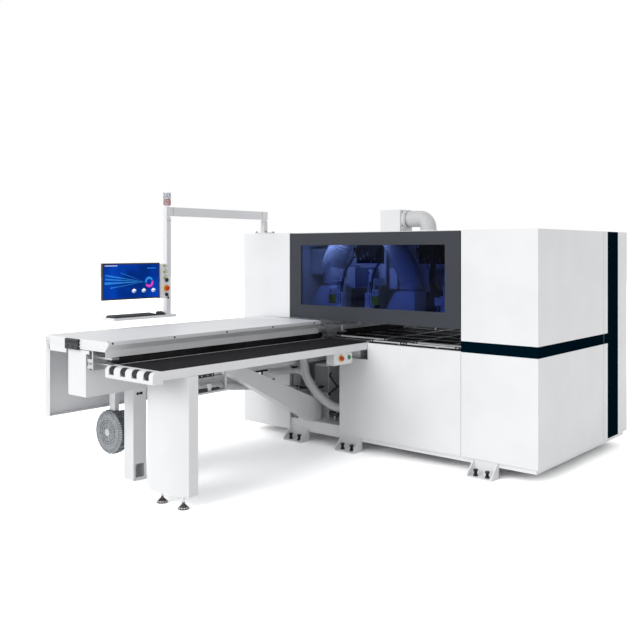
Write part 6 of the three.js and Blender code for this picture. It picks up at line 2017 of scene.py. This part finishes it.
# %% Signal light
LIGHT_X = -2850
LIGHT_Y = -1134
LIGHT_LOW = 2126
LIGHT_TOP = 2244
LIGHT_MIDDLE = (LIGHT_LOW + LIGHT_TOP) / 2
LIGHT_TIERS = [(LIGHT_LOW + 5, LIGHT_MIDDLE - 5), (LIGHT_MIDDLE + 5, LIGHT_TOP - 10)]
LIGHT_RIBS = 28
LIGHT_RIB = 2.2
LIGHT_REACH = 24
LIGHT_STEM = 7
LIGHT_DISC = [(0, -1.5), (27.5, -1.5), (27.5, 1.5), (0, 1.5)]


def light_core():
    mesh = bmesh.new()
    for tint, (foot, top) in enumerate(LIGHT_TIERS):
        ribs = []
        for k in range(LIGHT_RIBS):
            angle = math.tau * k / LIGHT_RIBS
            x = LIGHT_X + LIGHT_REACH * math.cos(angle)
            y = LIGHT_Y + LIGHT_REACH * math.sin(angle)
            ribs.append((x, y, foot, top, LIGHT_RIB))
        add_posts(mesh, ribs, sides=8, tint=tint)
        add_posts(mesh, [(LIGHT_X, LIGHT_Y, foot, top, LIGHT_STEM)], sides=16, tint=2)
    add_turned(mesh, at(LIGHT_X, LIGHT_Y, LIGHT_MIDDLE), UP, LIGHT_DISC, sides=36, tint=2)
    place_piece("light_core", mesh, "arm", [LENS_PINK, LENS_CLEAR, CAPWHITE], sharp=30)


light_core()

# %% [markdown]
# Sheet-metal cabinets are made of doors and panels, and their joints show as thin dark lines. A line is a
# strip laid a hair proud of the sheet: cutting real gaps would change the frame. Doors on the left side
# and at the back get latches, and the left doors get hinges, because such doors have to open for service.

# %% Panel joints
JOINT_WIDE = 2.4
JOINT_PROUD = 0.5
JOINT_SUNK = 0.2
LEFT_FACE = -3070
REAR_FACE = 1800
SIDE_JOINT_Y = 1259
SIDE_JOINT = ((-JOINT_SUNK, SIDE_JOINT_Y, 126), (JOINT_PROUD, SIDE_JOINT_Y + JOINT_WIDE, 1902))
DOORS_Y = (120, 880, 1680)
DOORS_Z = (180, 1820)
REAR_DOORS_X = [(-2960, -2560), (-560, -90)]
REAR_DOORS_Z = (200, 1800)
REAR_PANEL_X = (-2440, -680)
REAR_PANEL_Z = (900, 1180, 1560)
LATCH_OUTLINE = [(0, 0), (16, 0), (16, 2), (13, 4), (0, 4)]
LATCH_Z = 1000
LEFT_LATCHES_Y = (860, 900)
REAR_LATCHES_X = (-2580, -540)
HINGES_Y = (135, 1665)
HINGES_Z = (420, 1000, 1580)
HINGE_HALF = 30
HINGE_RADIUS = 4


def left_joint(y, z, far, top):
    """A strip on the left side, from one corner to the other in depth and height."""
    return (LEFT_FACE - JOINT_PROUD, y, z), (LEFT_FACE + JOINT_SUNK, far, top)


def rear_joint(x, z, right, top):
    """A strip on the rear wall, from one corner to the other in width and height."""
    return (x, REAR_FACE - JOINT_SUNK, z), (right, REAR_FACE + JOINT_PROUD, top)


def panel_joints():
    strips = [SIDE_JOINT]
    strips += [left_joint(y, DOORS_Z[0], y + JOINT_WIDE, DOORS_Z[1]) for y in DOORS_Y]
    strips += [left_joint(DOORS_Y[0], z, DOORS_Y[2] + 2, z + JOINT_WIDE) for z in DOORS_Z]
    for left, right in REAR_DOORS_X:
        strips += [rear_joint(x, REAR_DOORS_Z[0], x + JOINT_WIDE, REAR_DOORS_Z[1]) for x in (left, right)]
        strips += [rear_joint(left, z, right, z + JOINT_WIDE) for z in REAR_DOORS_Z]
    left, right = REAR_PANEL_X
    strips += [rear_joint(left, z, right, z + JOINT_WIDE) for z in REAR_PANEL_Z]
    mesh = bmesh.new()
    add_blocks(mesh, strips)
    place_piece("panel_joints", mesh, "machine", [JOINT], sharp=30)


def door_latches():
    mesh = bmesh.new()
    for y in LEFT_LATCHES_Y:
        add_turned(mesh, at(LEFT_FACE, y, LATCH_Z), -RIGHT, LATCH_OUTLINE, sides=28)
    for x in REAR_LATCHES_X:
        add_turned(mesh, at(x, REAR_FACE, LATCH_Z), -FRONT, LATCH_OUTLINE, sides=28)
    for y in HINGES_Y:
        for z in HINGES_Z:
            hinge = (LEFT_FACE + 1, y, z - HINGE_HALF, z + HINGE_HALF, HINGE_RADIUS)
            add_posts(mesh, [hinge], sides=16, tint=1)
    place_piece("door_latches", mesh, "machine", [BOLT, LIGHT], sharp=30)


panel_joints()
door_latches()

# %% [markdown]
# The arm's square tubes are welded to their flanges, and the weld shows as a fine line near each end. A
# line drawn in the finish would need a map of the tube, so each is a thin strip on the tube's face. The
# post stands on a flange with four bolts.

# %% Arm joints and post bolts
TUBE_FACE = -2823.1
LINE_BACK = -2823.8
ARM_LINES = [((LINE_BACK, y, 2036), (TUBE_FACE, y + 2, 2111.9)) for y in (-1088, -2)]
CONSOLE_LINE = [((LINE_BACK, -1160, 1996), (TUBE_FACE - HAIR, -1108, 1998))]
POST_BOLTS_X = (-2912, -2788)
POST_BOLTS_Y = (13, 112)
POST_FLANGE = 1914


def weld_line(name, body, strips):
    mesh = bmesh.new()
    add_blocks(mesh, strips)
    place_piece(name, mesh, body, [JOINT])


weld_line("arm_joints", "arm", ARM_LINES)
weld_line("console_joint", "operator_console", CONSOLE_LINE)
post_places = [at(x, y, POST_FLANGE) for x in POST_BOLTS_X for y in POST_BOLTS_Y]
screws("post_bolts", post_places, UP, radius=9, add=add_hex_bolt)

# %% [markdown]
# The worktable is crossed by bright guide bars and edged with steel strips. The front bars and the edge
# strips are a pale matt grey with a painted highlight in it, for the light that they catch in front of the
# dark chamber, which is why the gap under the window sparkles; the other bars stay steel. A pattern in the
# table's finish would lie flat and stay dark at this slant, so every bar stands up a little.

# %% Worktable bars
BED_TOP = 954
SEAT = BED_TOP + HAIR
BED_LEFT = -2080
BED_RIGHT = -664
BED_BARS_Y = (96, 300, 520, 760, 1020, 1300, 1560)
BED_BAR_WIDE = 7
BED_BAR_TOP = BED_TOP + 4
BED_EDGES_X = (-1600, -1272, -900)
BED_EDGE_WIDE = 14
BED_EDGE_NEAR = 36
BED_EDGE_FAR = 1760
BED_EDGE_TOP = BED_TOP + 6
FRONT_BARS = [(-1560, -1230, 40), (-1210, -700, 40), (-1180, -680, 150), (-2040, -1500, 190)]
FRONT_BAR_WIDE = 16
FRONT_BAR_LOW = BED_TOP + 6.2
FRONT_BAR_TOP = BED_TOP + 17
HOLDER_IN = 12
HOLDER_WIDE = 12
HOLDER_PROUD = 3
HOLDER_TOP = BED_TOP + 21
EDGE_SCREWS_X = (-1589, -1261, -889)
EDGE_SCREWS_Y = (70, 420, 900)


def add_front_bar(mesh, first, last, near):
    """A bar in pale grey with a painted highlight, which rests in two dark blocks."""
    far = near + FRONT_BAR_WIDE
    add_blocks(mesh, [((first, near, FRONT_BAR_LOW), (last, far, FRONT_BAR_TOP))], tint=2)
    for x in (first + HOLDER_IN, last - HOLDER_IN - HOLDER_WIDE):
        holder = ((x, near - HOLDER_PROUD, SEAT), (x + HOLDER_WIDE, far + HOLDER_PROUD, HOLDER_TOP))
        add_blocks(mesh, [holder], tint=1)


def bed_bars():
    mesh = bmesh.new()
    for y in BED_BARS_Y:
        add_blocks(mesh, [((BED_LEFT, y, SEAT), (BED_RIGHT, y + BED_BAR_WIDE, BED_BAR_TOP))])
    for x in BED_EDGES_X:
        # The edge strips take the pale finish too, a painted highlight on steel.
        edge = ((x, BED_EDGE_NEAR, SEAT), (x + BED_EDGE_WIDE, BED_EDGE_FAR, BED_EDGE_TOP))
        add_blocks(mesh, [edge], tint=2)
    for row in FRONT_BARS:
        add_front_bar(mesh, *row)
    for x in EDGE_SCREWS_X:
        for y in EDGE_SCREWS_Y:
            add_dome_screw(mesh, at(x, y, BED_EDGE_TOP), UP, radius=5, tint=1)
    place_piece("bed_bars", mesh, "machine", [STEEL, BOLT, BAR_HIGHLIGHT], edge=0.5)


bed_bars()

# %% [markdown]
# Each feed clamp ends in two pale plates, one a step lower than the other, held by two screws. They could
# be part of the frame's carriage, but they have a finish of their own, so they ride on the carriage
# instead.

# %% Clamp plates
CLAMPS_Y = (-2206, 344)
CLAMP_PLATES = [(-2290, -2215, 74, 1052.2, 1056), (-2215, -2160, 60, 1048, 1052)]
CLAMP_SCREW_X = -2252
CLAMP_SCREW_SIDE = 50
CLAMP_SCREW_Z = 1056


def clamp_plates(number, y):
    mesh = bmesh.new()
    for left, right, half, foot, top in CLAMP_PLATES:
        add_blocks(mesh, [((left, y - half, foot), (right, y + half, top))])
    for side in (-CLAMP_SCREW_SIDE, CLAMP_SCREW_SIDE):
        add_dome_screw(mesh, at(CLAMP_SCREW_X, y + side, CLAMP_SCREW_Z), UP, radius=6, tint=1)
    place_piece(f"clamp_plates_{number}", mesh, f"clamp_carriage_{number}", [BEIGE, BOLT], edge=0.8)


for number, y in enumerate(CLAMPS_Y, 1):
    clamp_plates(number, y)
